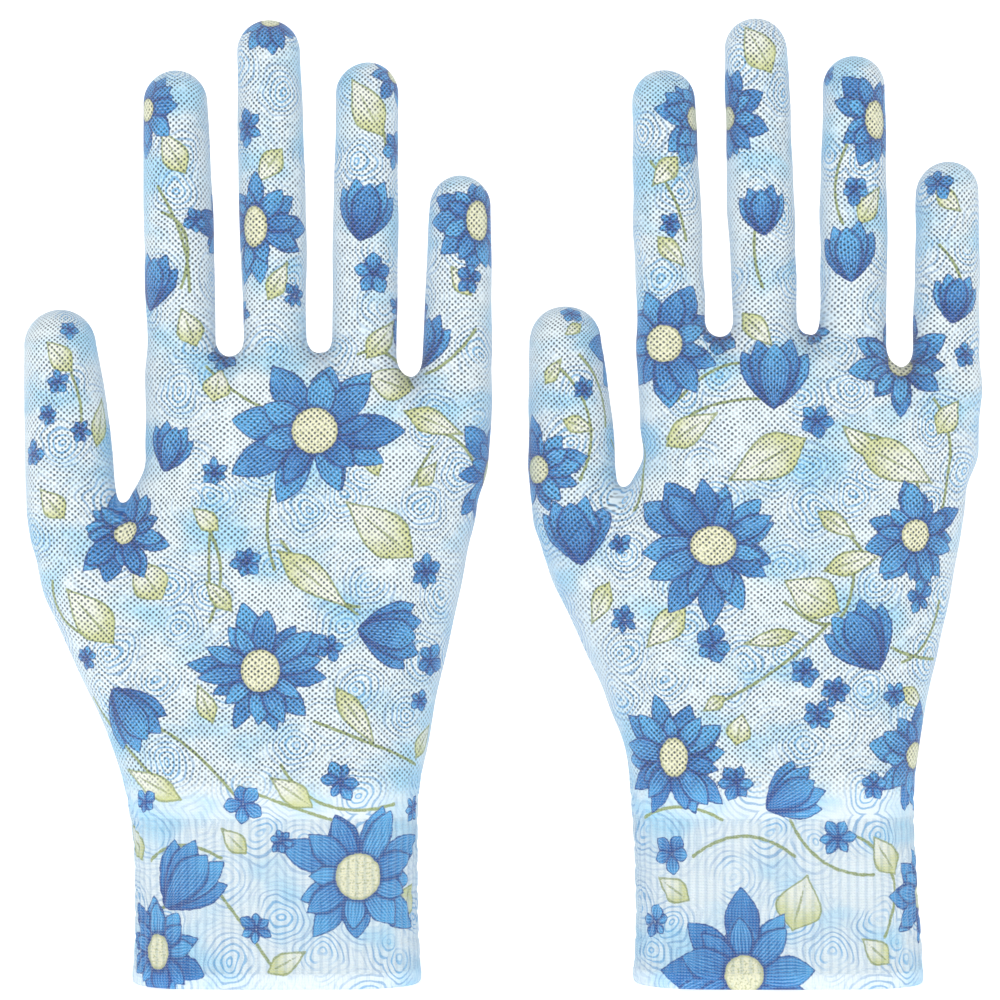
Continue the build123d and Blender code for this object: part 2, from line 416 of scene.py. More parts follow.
def unroll(shape, stalls, palm_side, p, viewer):
    """Where each point lies on one face of the flat knit, in millimetres across and up.

    viewer is -1 for the face towards -Y and 1 for the back. The coordinates run on round the
    edges, so that a motif near an edge wraps. Also how squarely each point faces that side."""
    centre, a, b = section(shape, p[:, 2])
    x = p[:, 0] - centre
    edge = np.maximum(a - FLAT_CORNER * b, 0)
    core = np.clip(x, -edge, edge)
    turn = np.arctan2(x - core, viewer * p[:, 1])
    across = [centre + core + b * turn]
    up = [p[:, 2]]
    facing = [np.cos(turn)]
    nearness = [np.abs(soft_max(hand_distance(shape, p), above_gaps(shape, p), PALM_TOP_ROUND))]
    for stall in stalls:
        start = stall.root - stall.along * THUMB_PRINT_DROP
        end = stall.tip - stall.along * shape.radii[stall.name][2]
        length = np.linalg.norm(end - start)
        t = np.clip((p - start) @ stall.along, -60, length)
        axis = start + t[:, None] * stall.along
        away = p - axis
        out = away / np.maximum(np.linalg.norm(away, axis=1), 1e-6)[:, None]
        angle = np.arccos(np.clip(viewer * out[:, 1], -1, 1))
        side = np.maximum(np.hypot(out[:, 0], out[:, 2]), 1e-6)
        size = shape.radii[stall.name][1] * angle / side
        low, high = GAP_FLAT
        flat = 1 - ease((t - THUMB_PRINT_DROP - low) / (high - low))
        flat = flat * np.isin(np.sign(away[:, 0]), GAP_SIDES[stall.name])
        across.append(axis[:, 0] + flat * away[:, 0] + (1 - flat) * size * out[:, 0])
        up.append(axis[:, 2] + flat * away[:, 2] + (1 - flat) * size * out[:, 2])
        facing.append(np.cos(angle))
        below = np.maximum(-((p - start) @ stall.along), 0)
        nearness.append(np.abs(stall_distance(shape, stall, palm_side, p)) + below * 0.5)
    nearness = np.array(nearness)
    weight = np.exp(-(nearness - nearness.min(0)) / PRINT_BLEND)
    weight /= weight.sum(0)
    return (weight * across).sum(0), (weight * up).sum(0), (weight * facing).sum(0)


# ---------------------------------------------------------------- the floral print

# Every motif is kept as smooth fields: distances to its outlines, and shading shares. The
# material turns them into ink, so the edges stay sharp between the mesh's points.

FAR = 4.0
PETAL_LEAN = 1.35  # above 1 puts a petal's widest place past its middle
POINT_FROM = 0.72  # a petal narrows straight to its point from here
HATCH_PITCH = 0.85  # between a petal's drawn lines
SIDE_REACH = 10.0  # how sharply a face's motifs end at its side
SHOWN_SIDE, HIDDEN_SIDE = -0.3, 0.15  # how far round each face's motifs reach
FIELDS = ("blue", "vein", "hatch", "tone", "streak", "disc", "leaf", "green", "rib", "stem")


class Print:
    """One face's motifs as fields over points of the flat knit."""

    def __init__(self, u, v):
        self.u, self.v = u, v
        for name in FIELDS:
            start = 0.0 if name in ("hatch", "tone", "streak", "green") else FAR
            setattr(self, name, np.full(len(u), start))

    def cut_to_side(self, facing, least):
        """No motifs past this face's own side of the glove."""
        past = (least - facing) * SIDE_REACH
        for name in ("blue", "disc", "leaf", "stem"):
            setattr(self, name, np.maximum(getattr(self, name), past))

    def near(self, u, v, reach):
        return np.nonzero((np.abs(self.u - u) < reach) & (np.abs(self.v - v) < reach))[0]

    def petal_shape(self, at, base, angle, length, width, fullness):
        """Distance to a petal or leaf, and the places along and across it."""
        du, dv = self.u[at] - base[0], self.v[at] - base[1]
        along = (du * math.cos(angle) + dv * math.sin(angle)) / length
        q = dv * math.cos(angle) - du * math.sin(angle)
        share = np.clip(along, 0.001, 0.999)
        taper = np.minimum(1, (1 - share) / (1 - POINT_FROM))
        half = width * np.sin(math.pi * share**PETAL_LEAN) ** fullness * taper**0.3
        past = np.maximum(np.maximum(-along, along - 1), 0) * length
        d = np.where(past > 0, np.hypot(past, np.maximum(np.abs(q) - half, 0)), 0)
        inside = (np.abs(q) - half) * 0.9
        ends = np.minimum(share, 1 - share) * length
        inside = np.where(inside < 0, np.maximum(inside, -ends), inside)
        return np.where(past > 0, d, inside), share, q / np.maximum(half, 0.15)

    def petal(self, at, base, angle, length, width, fullness, tone):
        d, along, across = self.petal_shape(at, base, angle, length, width, fullness)
        inside = d < 0
        self.blue[at] = np.minimum(self.blue[at], d)
        self.vein[at] = np.where(inside, -d, np.minimum(self.vein[at], np.abs(d)))
        lines = max(1.5, width / HATCH_PITCH)
        near = d < 0.5
        self.hatch[at] = np.where(near, across * lines, self.hatch[at])
        shade = tone + 0.5 * along - 0.1 * across**2
        self.tone[at] = np.where(near, shade, self.tone[at])
        self.streak[at] = np.where(near, 1.05 - 0.95 * along, self.streak[at])

    def daisy(self, u, v, size, disc, petals, seed, disc_v=None, slim=1.0):
        """A large flower: two rounds of uneven petals about a stippled disc."""
        rng = np.random.default_rng(seed)
        disc_v = disc_v or disc
        at = self.near(u, v, size * 1.25)
        for layer, reach in ((0, 1.0), (1, 0.84)):
            turn = rng.uniform(0, 2 * math.pi)
            for number in range(petals):
                angle = turn + 2 * math.pi * (number + rng.uniform(-0.28, 0.28)) / petals
                length = size * reach * rng.uniform(0.76, 1.14)
                width = slim * length * math.pi / petals * rng.uniform(0.5, 0.7)
                full = rng.choice([0.5, 0.6, 0.75])
                tone = rng.uniform(0.0, 0.5) + 0.1 * layer
                self.petal(at, (u, v), angle, length, width, full, tone)
        self.disc_at(at, u, v, disc, disc_v)

    def disc_at(self, at, u, v, disc_u, disc_v):
        ring = np.hypot((self.u[at] - u) / disc_u, (self.v[at] - v) / disc_v)
        self.disc[at] = np.minimum(self.disc[at], (ring - 1) * min(disc_u, disc_v))

    def small_flower(self, u, v, size, seed):
        """Five or six short round petals with a dark middle."""
        rng = np.random.default_rng(seed)
        at = self.near(u, v, size * 1.2)
        petals = int(rng.integers(5, 7))
        turn = rng.uniform(0, 2 * math.pi)
        for number in range(petals):
            angle = turn + 2 * math.pi * (number + rng.uniform(-0.15, 0.15)) / petals
            length = size * rng.uniform(0.85, 1.1)
            width = length * math.pi / petals * rng.uniform(0.5, 0.68)
            self.petal(at, (u, v), angle, length, width, 0.7, rng.uniform(0.2, 0.6))

    def tulip(self, u, v, size, angle, seed):
        """A closed bud: a round body of wide petals and three pointed tips."""
        rng = np.random.default_rng(seed)
        at = self.near(u, v, size * 1.7)
        angle = math.radians(angle)
        foot = (u - size * 0.9 * math.cos(angle), v - size * 0.9 * math.sin(angle))
        for bend, reach, width in ((-30, 1.75, 0.32), (30, 1.75, 0.32), (-13, 1.95, 0.36),
                                   (14, 1.9, 0.36), (0, 1.75, 0.42)):
            turn = angle + math.radians(bend)
            self.petal(at, foot, turn, size * reach, size * width, 0.55, rng.uniform(0.1, 0.5))

    def leaf_from(self, start, end, width, full=0.9):
        """A pale leaf from its stalk to its point, greener towards the point."""
        angle = math.atan2(end[1] - start[1], end[0] - start[0])
        length = math.dist(start, end)
        at = self.near((start[0] + end[0]) / 2, (start[1] + end[1]) / 2, length * 0.75 + 2)
        d, along, across = self.petal_shape(at, start, angle, length, width, full)
        inside = d < 0.4
        self.leaf[at] = np.minimum(self.leaf[at], d)
        green = np.clip(1.25 * along - 0.2 + 0.35 * np.abs(across), 0, 1)
        self.green[at] = np.where(inside, green, self.green[at])
        self.rib[at] = np.where(inside, np.abs(across) * width, self.rib[at])

    def stem_through(self, *points):
        """A thin stem on a smooth curve through two or three points."""
        points = np.array(points, float)
        if len(points) == 2:
            lean = (points[1] - points[0])[::-1] * (0.12, -0.12)
            points = np.array([points[0], points.mean(0) + lean, points[1]])
        middle = 2 * points[1] - (points[0] + points[2]) / 2
        t = np.linspace(0, 1, 10)[:, None]
        line = (1 - t) ** 2 * points[0] + 2 * t * (1 - t) * middle + t**2 * points[2]
        low, high = line.min(0) - FAR, line.max(0) + FAR
        at = np.nonzero((self.u > low[0]) & (self.u < high[0]) & (self.v > low[1]) & (self.v < high[1]))[0]
        spot = np.stack([self.u[at], self.v[at]], 1)
        best = np.full(len(at), FAR)
        for a, b in zip(line[:-1], line[1:]):
            run = b - a
            s = np.clip((spot - a) @ run / (run @ run), 0, 1)
            best = np.minimum(best, np.linalg.norm(spot - a - s[:, None] * run, axis=1))
        self.stem[at] = np.minimum(self.stem[at], best)


@dataclass
class Motifs:
    """One face's motifs, in millimetres across and up the flat knit."""

    stems: list  # points that each runs through
    leaves: list  # (stalk, point, half width, fullness if not plain)
    tulips: list  # (across, up, size, degrees that it points)
    daisies: list  # (across, up, size, disc, petals, seed, disc's height, slimness)
    small_flowers: list  # (across, up, size)
    first_tulip_seed: int
    first_small_seed: int

    def draw(self, face):
        for points in self.stems:
            face.stem_through(*points)
        for leaf in self.leaves:
            face.leaf_from(*leaf)
        for seed, tulip in enumerate(self.tulips, self.first_tulip_seed):
            face.tulip(*tulip, seed)
        for daisy in self.daisies:
            face.daisy(*daisy)
        for seed, flower in enumerate(self.small_flowers, self.first_small_seed):
            face.small_flower(*flower, seed)


PALM_MOTIFS = Motifs(
    stems=[
        ((9.8, 63.2), (17, 60.4), (24.3, 57.4)), ((24.3, 57.4), (29, 55.8), (36, 52.5)),
        ((-45.5, 68.4), (-34, 55), (-22, 45.1)), ((-0.4, 118), (-1.2, 108), (0.5, 99)),
        ((1.3, 103.4), (10, 96), (20, 88.5)), ((-14, 112), (-15, 103), (-14.5, 92)),
        ((38, 128), (35, 123), (33, 119)), ((-16, 147), (-9, 141), (-2, 137)),
        ((20, 150), (27, 150), (33, 142)), ((48, 156), (42, 149), (36, 145.5)),
        ((19, 214), (25, 207), (27, 198)), ((-28, 190), (-22, 178), (-20, 165)),
        ((-50, 150), (-46, 142), (-45, 134)), ((-8, 48), (2, 44), (14, 40)),
        ((-30, 30), (-22, 34), (-12, 31)), ((-34, 16), (-24, 20), (-14, 22)),
        ((2.0, 105.8), (12.8, 93.8), (20.5, 90.2)), ((-18.5, 113.0), (-12.4, 101.0), (-14.8, 86.6)),
        ((-52.0, 96.2), (-49.6, 86.6), (-37.6, 81.8)), ((-30.4, 62.6), (-20.8, 57.8), (-8.8, 45.8)),
        ((2.0, 53.0), (12.8, 43.4), (29.6, 43.4)), ((-13.6, 24.2), (-6.4, 14.6), (0.8, 4.4)),
        ((34.4, 132.0), (44.0, 129.8), (49.0, 122.6)),
        ((-26.8, 183.8), (-20.8, 177.8), (-22.0, 165.8)),
    ],
    leaves=[
        ((17.3, 115), (33.4, 101.8), 5.2), ((45.7, 131), (31, 136.5), 2.9),
        ((22.6, 145), (32.5, 141.2), 3.8, 0.6), ((39, 124.3), (34.5, 118.6), 2.0),
        ((17.8, 90), (1.3, 103.4), 3.6), ((-18.9, 113.5), (-12.8, 108.2), 2.3),
        ((-15.8, 96.4), (-9.6, 89.2), 2.1), ((-12.5, 146.5), (-14.2, 138.8), 3.2),
        ((24.3, 57.4), (14.9, 71.3), 2.6), ((-48.5, 94.5), (-37.5, 81.5), 4.6),
        ((-32.5, 101), (-26.2, 92), 4.2, 0.7), ((-17.6, 71.8), (-14, 62.8), 2.2),
        ((-36.5, 51.5), (-21.5, 44.6), 2.8), ((-0.5, 50), (9.5, 43), 2.7), ((18, 216), (26, 202), 4.2),
        ((28.5, 158), (22, 149), 2.6), ((22, 128), (25, 121), 1.8), ((-22, 161), (-18.5, 152), 3.0),
        ((-27, 203), (-21, 193), 3.2), ((-54, 153), (-47, 146), 3.0), ((-55, 118), (-49, 111), 2.8),
        ((-38, 140), (-41, 128), 2.4), ((42, 171), (47, 164), 2.3), ((41, 62), (36, 54), 2.2),
        ((-4, 191), (2, 199), 2.8), ((3.5, 172), (-1.5, 163), 2.4), ((30, 14), (36, 24), 3.0),
        ((-12, 38), (-6, 32), 2.2), ((-38, 38), (-33, 30), 2.6), ((8, 9), (-1, 4), 2.4),
    ],
    tulips=[
        (-34, 64.6, 8.5, -55), (27.9, 83.8, 8.8, -8), (-25.6, 127.6, 6.5, 70), (-30, 167, 7.5, 80),
        (21.7, 184, 8.0, 80), (-20.5, 25.6, 9.5, 50), (34.6, 152.8, 7.6, 78),
    ],
    daisies=[
        (9.9, 131.8, 19.6, 5.4, 9, 11), (-2.8, 75.1, 16.4, 4.6, 10, 22, 5.0, 0.9),
        (20.5, 26.6, 18.5, 5.5, 9, 13), (-35.6, 107.6, 11.5, 2.6, 9, 14),
        (-28.0, 8.6, 12.5, 3.1, 9, 15, 4.2), (-5.0, 180.5, 13.5, 3.3, 9, 16, 4.8),
        (49.2, 182, 13.0, 3.4, 9, 17, 4.8), (-32.5, 208.5, 11.5, 2.8, 8, 18),
        (-1.0, 232.5, 12.5, 3.0, 9, 19), (56, 122, 13.0, 3.0, 9, 20), (31, 218.5, 9.5, 2.5, 8, 21),
    ],
    small_flowers=[
        (-7.4, 204, 4.6), (23.8, 169.4, 5.0), (31.2, 161, 3.6), (-13.9, 121.9, 3.6), (-6.2, 101, 4.0),
        (37.3, 98.4, 4.6), (39.6, 77.2, 4.4), (36.6, 67.9, 3.0), (13.6, 80.6, 3.4), (15.9, 49, 4.8),
        (-6.7, 43.9, 4.8), (-3.8, 14.4, 4.4), (30.7, 199, 4.8), (-12.4, 149.4, 3.8), (5.4, 164, 3.4),
        (46.5, 168, 3.6), (-50.8, 143.4, 3.2), (-53.4, 135.4, 3.0), (-45.2, 131.8, 3.0),
        (-57.5, 126.2, 3.4), (-47.8, 156.5, 3.2), (-18.5, 182, 3.4), (-9.5, 160, 3.6), (-45, 78, 3.2),
        (-31.5, 44, 3.4), (36, 42, 3.6), (2, 35, 3.2),
    ],
    first_tulip_seed=31,
    first_small_seed=41,
)

BACK_MOTIFS = Motifs(
    stems=[
        ((-16.8, 66.6), (-2, 75), (11.2, 86.3)), ((26.3, 80.6), (32, 78.6), (40, 77.5)),
        ((-25, 139), (-16, 146), (-8, 148)), ((9.1, 112.3), (16, 107), (21, 100.5)),
        ((17, 131), (27, 128), (33, 117)), ((-36, 113), (-35, 122), (-38, 130)),
        ((-47, 150), (-41, 142), (-40, 133)), ((16, 200), (13, 190), (15, 181)),
        ((38, 176), (43, 168), (41, 160)), ((-31, 196), (-25, 187), (-22, 177)),
        ((-34, 40), (-24, 43), (-14, 40)), ((2, 40), (10, 30), (22, 27)),
        ((-2, 190), (-6, 178), (-4, 166)), ((-28.1, 129.8), (-18.5, 137.0), (-4.1, 139.4)),
        ((0.7, 91.4), (12.7, 86.6), (17.5, 101.0)), ((-20.9, 31.4), (-8.9, 36.2), (3.1, 31.4)),
        ((17.5, 36.2), (27.1, 26.6), (24.7, 12.2)), ((36.7, 139.4), (41.5, 127.4), (39.1, 110.6)),
        ((-52.1, 146.6), (-44.9, 134.6), (-47.3, 120.2)), ((29.5, 77.0), (36.7, 81.8), (40.3, 91.4)),
    ],
    leaves=[
        ((-12.4, 120), (5.9, 130), 5.2), ((-15, 136), (-28.5, 128.2), 3.4),
        ((36.7, 119.4), (17.8, 129), 4.6), ((17.5, 106.5), (8.6, 112.8), 2.2),
        ((24.2, 103), (10, 98.6), 2.7), ((0.6, 96.5), (13.8, 89.2), 4.9),
        ((-31.8, 80.6), (-22.6, 90), 3.4), ((-9, 81.4), (3.8, 84), 1.9),
        ((-18.4, 65.6), (-13.4, 69), 1.6), ((-9.2, 65), (-10.8, 57.6), 2.8),
        ((-46.5, 86), (-41, 96), 2.6), ((6, 27), (2.5, 14), 5.4), ((22, 36), (28, 27), 3.4),
        ((-8.5, 229), (-1.5, 217), 4.0), ((-1.8, 152), (-8.5, 160), 2.6),
        ((14.5, 133), (22, 126), 2.2), ((24.5, 190), (19, 181), 2.6), ((-30.5, 190), (-24, 197), 2.6),
        ((-22.5, 171), (-29, 178), 2.2), ((43.5, 184), (37, 189.5), 2.2), ((43, 139), (38, 131), 3.0),
        ((-52, 149), (-56.5, 143), 1.8), ((-51, 155), (-46, 158.5), 1.6),
        ((-44, 132), (-51.5, 134.5), 2.0), ((36.5, 66), (30, 71), 2.0), ((-30, 26), (-22, 21), 2.8),
        ((19, 12), (26, 6), 2.8),
    ],
    tulips=[
        (-49, 107.6, 8.6, 95), (-1.4, 145, 9.0, 88), (19.4, 82.4, 9.0, 118), (2.2, 46, 7.6, 30),
        (16.5, 174, 7.6, 96), (42, 163, 6.4, 80), (-4, 184, 6.4, 95),
    ],
    daisies=[
        (-16.1, 104.6, 18.4, 5.4, 10, 81, 4.6), (-25.7, 54.6, 15.0, 3.6, 10, 82, 4.6),
        (32.4, 107, 13.5, 3.8, 9, 83), (-27.6, 152.6, 15.0, 4.4, 9, 84),
        (-17.8, 206.6, 12.0, 2.8, 9, 85), (-14.4, 206.6, 11.5, 2.8, 9, 86),
        (23.9, 206, 13.0, 3.3, 9, 87, 4.6), (29.0, 147.8, 12.0, 3.0, 9, 88),
        (35.0, 54.6, 13.5, 3.2, 9, 89), (-8.9, 3.6, 19.0, 4.6, 9, 90), (39.0, 20.6, 12.0, 3.0, 9, 91),
        (-58.2, 122.6, 12.5, 3.3, 9, 92),
    ],
    small_flowers=[
        (8.4, 134.2, 4.4), (-16.1, 81.2, 4.6), (-37.7, 87, 3.8), (8.6, 64.6, 4.2), (5.5, 74.8, 3.8),
        (12.6, 70.4, 4.2), (34.3, 92.4, 4.0), (37.5, 191, 4.4), (-10.8, 48.7, 4.4), (13.2, 35.8, 4.6),
        (-26.4, 31.9, 4.8), (-31, 15.5, 4.2), (27.6, 69.6, 3.4), (18, 189, 3.6), (-46, 142, 3.2),
        (-49, 162.5, 4.2), (-26, 181, 3.2), (9, 218, 3.6), (-38, 105, 3.0), (22, 48, 3.6),
        (-14.2, 154, 4.4), (8.5, 155.5, 3.6), (44.5, 150, 3.4),
    ],
    first_tulip_seed=71,
    first_small_seed=101,
)


def printed_fields(side, shape, stalls, points):
    """Both faces' motifs at every point, the viewer's face laid over the hidden one."""
    palm_side = PALM_SIDE[side]
    faces = []
    for viewer in (-1, 1):
        motifs = PALM_MOTIFS if viewer == palm_side else BACK_MOTIFS
        u, v, facing = unroll(shape, stalls, palm_side, points, viewer)
        face = Print(u, v)
        motifs.draw(face)
        face.cut_to_side(facing, SHOWN_SIDE if viewer < 0 else HIDDEN_SIDE)
        faces.append((face, facing))
    (shown, facing), (hidden, _) = faces
    merged = {}
    over = (shown.blue < 0) | (shown.disc < 0)
    for name in ("blue", "disc", "leaf", "stem", "rib"):
        merged[name] = np.minimum(getattr(shown, name), getattr(hidden, name))
    merged["vein"] = np.where(over, shown.vein, np.minimum(shown.vein, hidden.vein))
    use_shown = over | (shown.blue < hidden.blue)
    for name in ("hatch", "tone", "streak"):
        merged[name] = np.where(use_shown, getattr(shown, name), getattr(hidden, name))
    leafy = shown.leaf < hidden.leaf
    merged["green"] = np.where(leafy, shown.green, hidden.green)
    front = facing > 0
    merged["u"] = np.where(front, shown.u, hidden.u)
    merged["v"] = np.where(front, shown.v, hidden.v)
    merged["open"] = ease((np.abs(facing) - 0.15) / 0.7)
    return merged


# ---------------------------------------------------------------- materials

HOLE_PITCH = (1.46, 1.34)  # millimetres across and up between the knit's pinholes
HOLE_RADIUS = (0.42, 0.13)  # from its faint edge to its dark middle
STITCH_PITCH = (0.73, 0.67)
SWIRL_CELL = 15.0
SWIRL_PITCH = 1.4

GROUND = "#e1edf2"
WASH = "#a9daf2"
SWIRL = "#84acd2"
SWIRL_BLUE = "#58acdf"
STEM = "#8a9a50"
LEAF_PALE = "#e8ece0"
LEAF_GREEN = "#ccd294"
LEAF_LINE = "#8b9a52"
PETAL_DEEP = "#0a5aa6"
PETAL_MIDDLE = "#1a7fc6"
PETAL_LIGHT = "#46a8e2"
PETAL_LINE = "#173f86"
PETAL_GLEAM = "#9accf0"
DISC = "#e9e8c8"
DISC_DOT = "#9aa05a"
HOLE_SHADE = "#34414f"
# painted shade on the glove's sides, where the knit turns away from front and back
SIDE_PAINTED_SHADE = "#95c0e0"
# painted shade at the bottoms of the gaps between the stalls
CROTCH_PAINTED_SHADE = "#5d6a8c"
# painted highlight on the knit's raised loops
LOOP_PAINTED_HIGHLIGHT = "#ffffff"
SWIRL_BEND = 6.0  # how far the rings are pulled out of round
RIB_EDGE = (43.0, 52.0)  # pinholes open up over this height


def colour(code, alpha=1.0):
    """A shader colour from its usual six-digit code."""
    parts = [int(code[i:i + 2], 16) / 255 for i in (1, 3, 5)]
    linear = [c / 12.92 if c <= 0.04045 else ((c + 0.055) / 1.055) ** 2.4 for c in parts]
    return (*linear, alpha)


class Shader:
    """A small kit for building one material's nodes."""

    def __init__(self, name):
        self.material = bpy.data.materials.new(name)
        self.material.use_nodes = True
        self.tree = self.material.node_tree
        self.tree.nodes.clear()

    def node(self, kind, inputs=None, **settings):
        node = self.tree.nodes.new(kind)
        for key, value in settings.items():
            setattr(node, key, value)
        for key, value in (inputs or {}).items():
            self.plug(node.inputs[key], value)
        return node

    def plug(self, socket, value):
        if isinstance(value, bpy.types.NodeSocket):
            self.tree.links.new(value, socket)
        else:
            socket.default_value = value

    def math(self, operation, *values, clamp=False):
        node = self.node("ShaderNodeMath", dict(enumerate(values)), operation=operation, use_clamp=clamp)
        return node.outputs[0]

    def vector(self, operation, *values):
        node = self.node("ShaderNodeVectorMath", dict(enumerate(values)), operation=operation)
        return node.outputs["Value" if operation in ("LENGTH", "DISTANCE") else "Vector"]

    def step(self, value, start, end):
        """0 before start and 1 after end, smooth between; start may be the larger."""
        if start > end:
            return self.math("SUBTRACT", 1.0, self.step(value, end, start))
        node = self.node(
            "ShaderNodeMapRange", {"Value": value, "From Min": start, "From Max": end},
            interpolation_type="SMOOTHSTEP",
        )
        return node.outputs["Result"]

    def mix(self, share, a, b, blend_type="MIX"):
        node = self.node("ShaderNodeMix", data_type="RGBA", blend_type=blend_type)
        self.plug(node.inputs["Factor"], share)
        sockets = [s for s in node.inputs if s.type == "RGBA"]
        self.plug(sockets[0], a)
        self.plug(sockets[1], b)
        return next(s for s in node.outputs if s.type == "RGBA")

    def noise(self, place, scale, detail=2.0):
        inputs = {"Vector": place, "Scale": scale, "Detail": detail}
        return self.node("ShaderNodeTexNoise", inputs).outputs["Fac"]

    def fields(self, name):
        read = self.node("ShaderNodeAttribute", attribute_name=name)
        split = self.node("ShaderNodeSeparateXYZ", {0: read.outputs["Vector"]})
        return split.outputs[0], split.outputs[1], split.outputs[2]

    def finish(self, base, height, lift, roughness, sheen):
        """The yarn's surface: its colour, with the height in metres as bump."""
        bump = self.node("ShaderNodeBump", {"Height": height, "Distance": lift, "Strength": 1.0})
        surface = self.node("ShaderNodeBsdfPrincipled", {"Base Color": base, "Normal": bump.outputs[0]})
        surface.inputs["Roughness"].default_value = roughness
        surface.inputs["Sheen Weight"].default_value = sheen
        surface.inputs["Sheen Roughness"].default_value = 0.5
        surface.inputs["Specular IOR Level"].default_value = 0.25
        self.node("ShaderNodeOutputMaterial", {"Surface": surface.outputs[0]})
        return self.material


def knit_place(shader):
    """The flat knit's place in millimetres, and the same with its rows gently uneven."""
    place = shader.node("ShaderNodeUVMap", uv_map="knit").outputs["UV"]
    drift = shader.node("ShaderNodeTexNoise", {"Vector": place, "Scale": 0.09, "Detail": 2.0})
    shifted = shader.vector("SUBTRACT", drift.outputs["Color"], (0.5, 0.5, 0.5))
    shifted = shader.vector("MULTIPLY", shifted, (2.4, 1.6, 0.0))
    return place, shader.vector("ADD", place, shifted)


def lattice_distance(shader, place, shift):
    """Distance to the nearest pinhole of one of the two staggered sets."""
    across, up = HOLE_PITCH
    moved = shader.vector("ADD", place, (across * (shift + 40), up * (shift + 40), 0))
    cell = shader.vector("FRACTION", shader.vector("DIVIDE", moved, (across, up, 1)))
    away = shader.vector("MULTIPLY", shader.vector("SUBTRACT", cell, (0.5, 0.5, 0)), (across, up, 0))
    return shader.vector("LENGTH", away)


def pinholes(shader, place):
    """1 in the middle of each of the knit's small openings, of uneven darkness."""
    nearest = shader.math("MINIMUM", *(lattice_distance(shader, place, shift) for shift in (0.0, 0.5)))
    uneven = shader.math("MULTIPLY_ADD", shader.noise(place, 0.55), 0.16, -0.08)
    hole = shader.step(shader.math("ADD", nearest, uneven), *HOLE_RADIUS)
    return shader.math("MULTIPLY", hole, shader.step(shader.noise(place, 0.35), 0.12, 0.55))


def stitches(shader, place):
    """The small V-shaped loops of plain knit, as a height from 0 to 1."""
    split = shader.node("ShaderNodeSeparateXYZ", {0: place})
    across = shader.math("ADD", split.outputs[0], 80.0)
    column = shader.math("FRACT", shader.math("DIVIDE", across, STITCH_PITCH[0]))
    arm = shader.math("ABSOLUTE", shader.math("SUBTRACT", column, 0.5))
    row = shader.math("DIVIDE", split.outputs[1], STITCH_PITCH[1])
    phase = shader.math("MULTIPLY", shader.math("SUBTRACT", row, arm), 2 * math.pi)
    wave = shader.math("MULTIPLY_ADD", shader.math("COSINE", phase), 0.5, 0.5)
    return shader.math("MULTIPLY", wave, shader.step(arm, 0.5, 0.3))


def swirled_ground(shader, place):
    """The pale ground with its hand-drawn rings about scattered centres."""
    streaked = shader.vector("MULTIPLY", place, (0.75, 1.15, 1.0))
    wash = shader.step(shader.noise(streaked, 0.055, 3.0), 0.46, 0.68)
    base = shader.mix(wash, colour(GROUND), colour(WASH))
    bend = shader.node("ShaderNodeTexNoise", {"Vector": place, "Scale": 0.11, "Detail": 1.5})
    bend = shader.vector("SUBTRACT", bend.outputs["Color"], (0.5, 0.5, 0.5))
    bent = shader.vector("ADD", place, shader.vector("MULTIPLY", bend, (SWIRL_BEND, SWIRL_BEND, 0.0)))
    cells = shader.node(
        "ShaderNodeTexVoronoi", {"Vector": bent, "Scale": 1 / SWIRL_CELL, "Randomness": 0.9},
        voronoi_dimensions="2D",
    )
    reach = shader.math("MULTIPLY", cells.outputs["Distance"], SWIRL_CELL)
    ring = shader.math("FRACT", shader.math("DIVIDE", reach, SWIRL_PITCH))
    edge = shader.math("ABSOLUTE", shader.math("SUBTRACT", ring, 0.5))
    width = shader.math("MULTIPLY_ADD", shader.noise(place, 0.3), 0.22, -0.11)
    line = shader.step(shader.math("ADD", edge, width), 0.24, 0.1)
    broken = shader.step(shader.noise(place, 0.06, 3.0), 0.36, 0.52)
    line = shader.math("MULTIPLY", line, broken)
    fade = shader.math("MULTIPLY_ADD", shader.step(reach, 8.0, 5.0), 0.65, 0.35)
    line = shader.math("MULTIPLY", line, fade)
    inner = shader.step(reach, 7.0, 1.0)
    ink = shader.mix(inner, colour(SWIRL), colour(SWIRL_BLUE))
    return shader.mix(shader.math("MULTIPLY", line, 0.8), base, ink)


def with_leaves(shader, base, place):
    leaf, green, rib = shader.fields("PrintLeaf")
    stem, _, _ = shader.fields("StemShadeOpen")
    rough = shader.math("MULTIPLY_ADD", shader.noise(place, 0.7), 0.5, -0.25)
    stem_mask = shader.step(shader.math("ADD", stem, rough), 0.5, 0.25)
    base = shader.mix(shader.math("MULTIPLY", stem_mask, 0.9), base, colour(STEM))
    edge = shader.math("ADD", leaf, rough)
    tint = shader.step(shader.math("ADD", green, rough), 0.35, 1.1)
    fill = shader.mix(tint, colour(LEAF_PALE), colour(LEAF_GREEN))
    mottle = shader.step(shader.noise(place, 1.1), 0.5, 0.72)
    fill = shader.mix(shader.math("MULTIPLY", mottle, 0.16), fill, colour(LEAF_LINE))
    vein = shader.step(shader.math("ADD", rib, rough), 0.42, 0.16)
    fill = shader.mix(shader.math("MULTIPLY", vein, 0.75), fill, colour(LEAF_LINE))
    base = shader.mix(shader.step(edge, 0.12, -0.12), base, fill)
    line = shader.step(shader.math("ABSOLUTE", edge), 0.34, 0.14)
    return shader.mix(shader.math("MULTIPLY", line, 0.8), base, colour(LEAF_LINE))


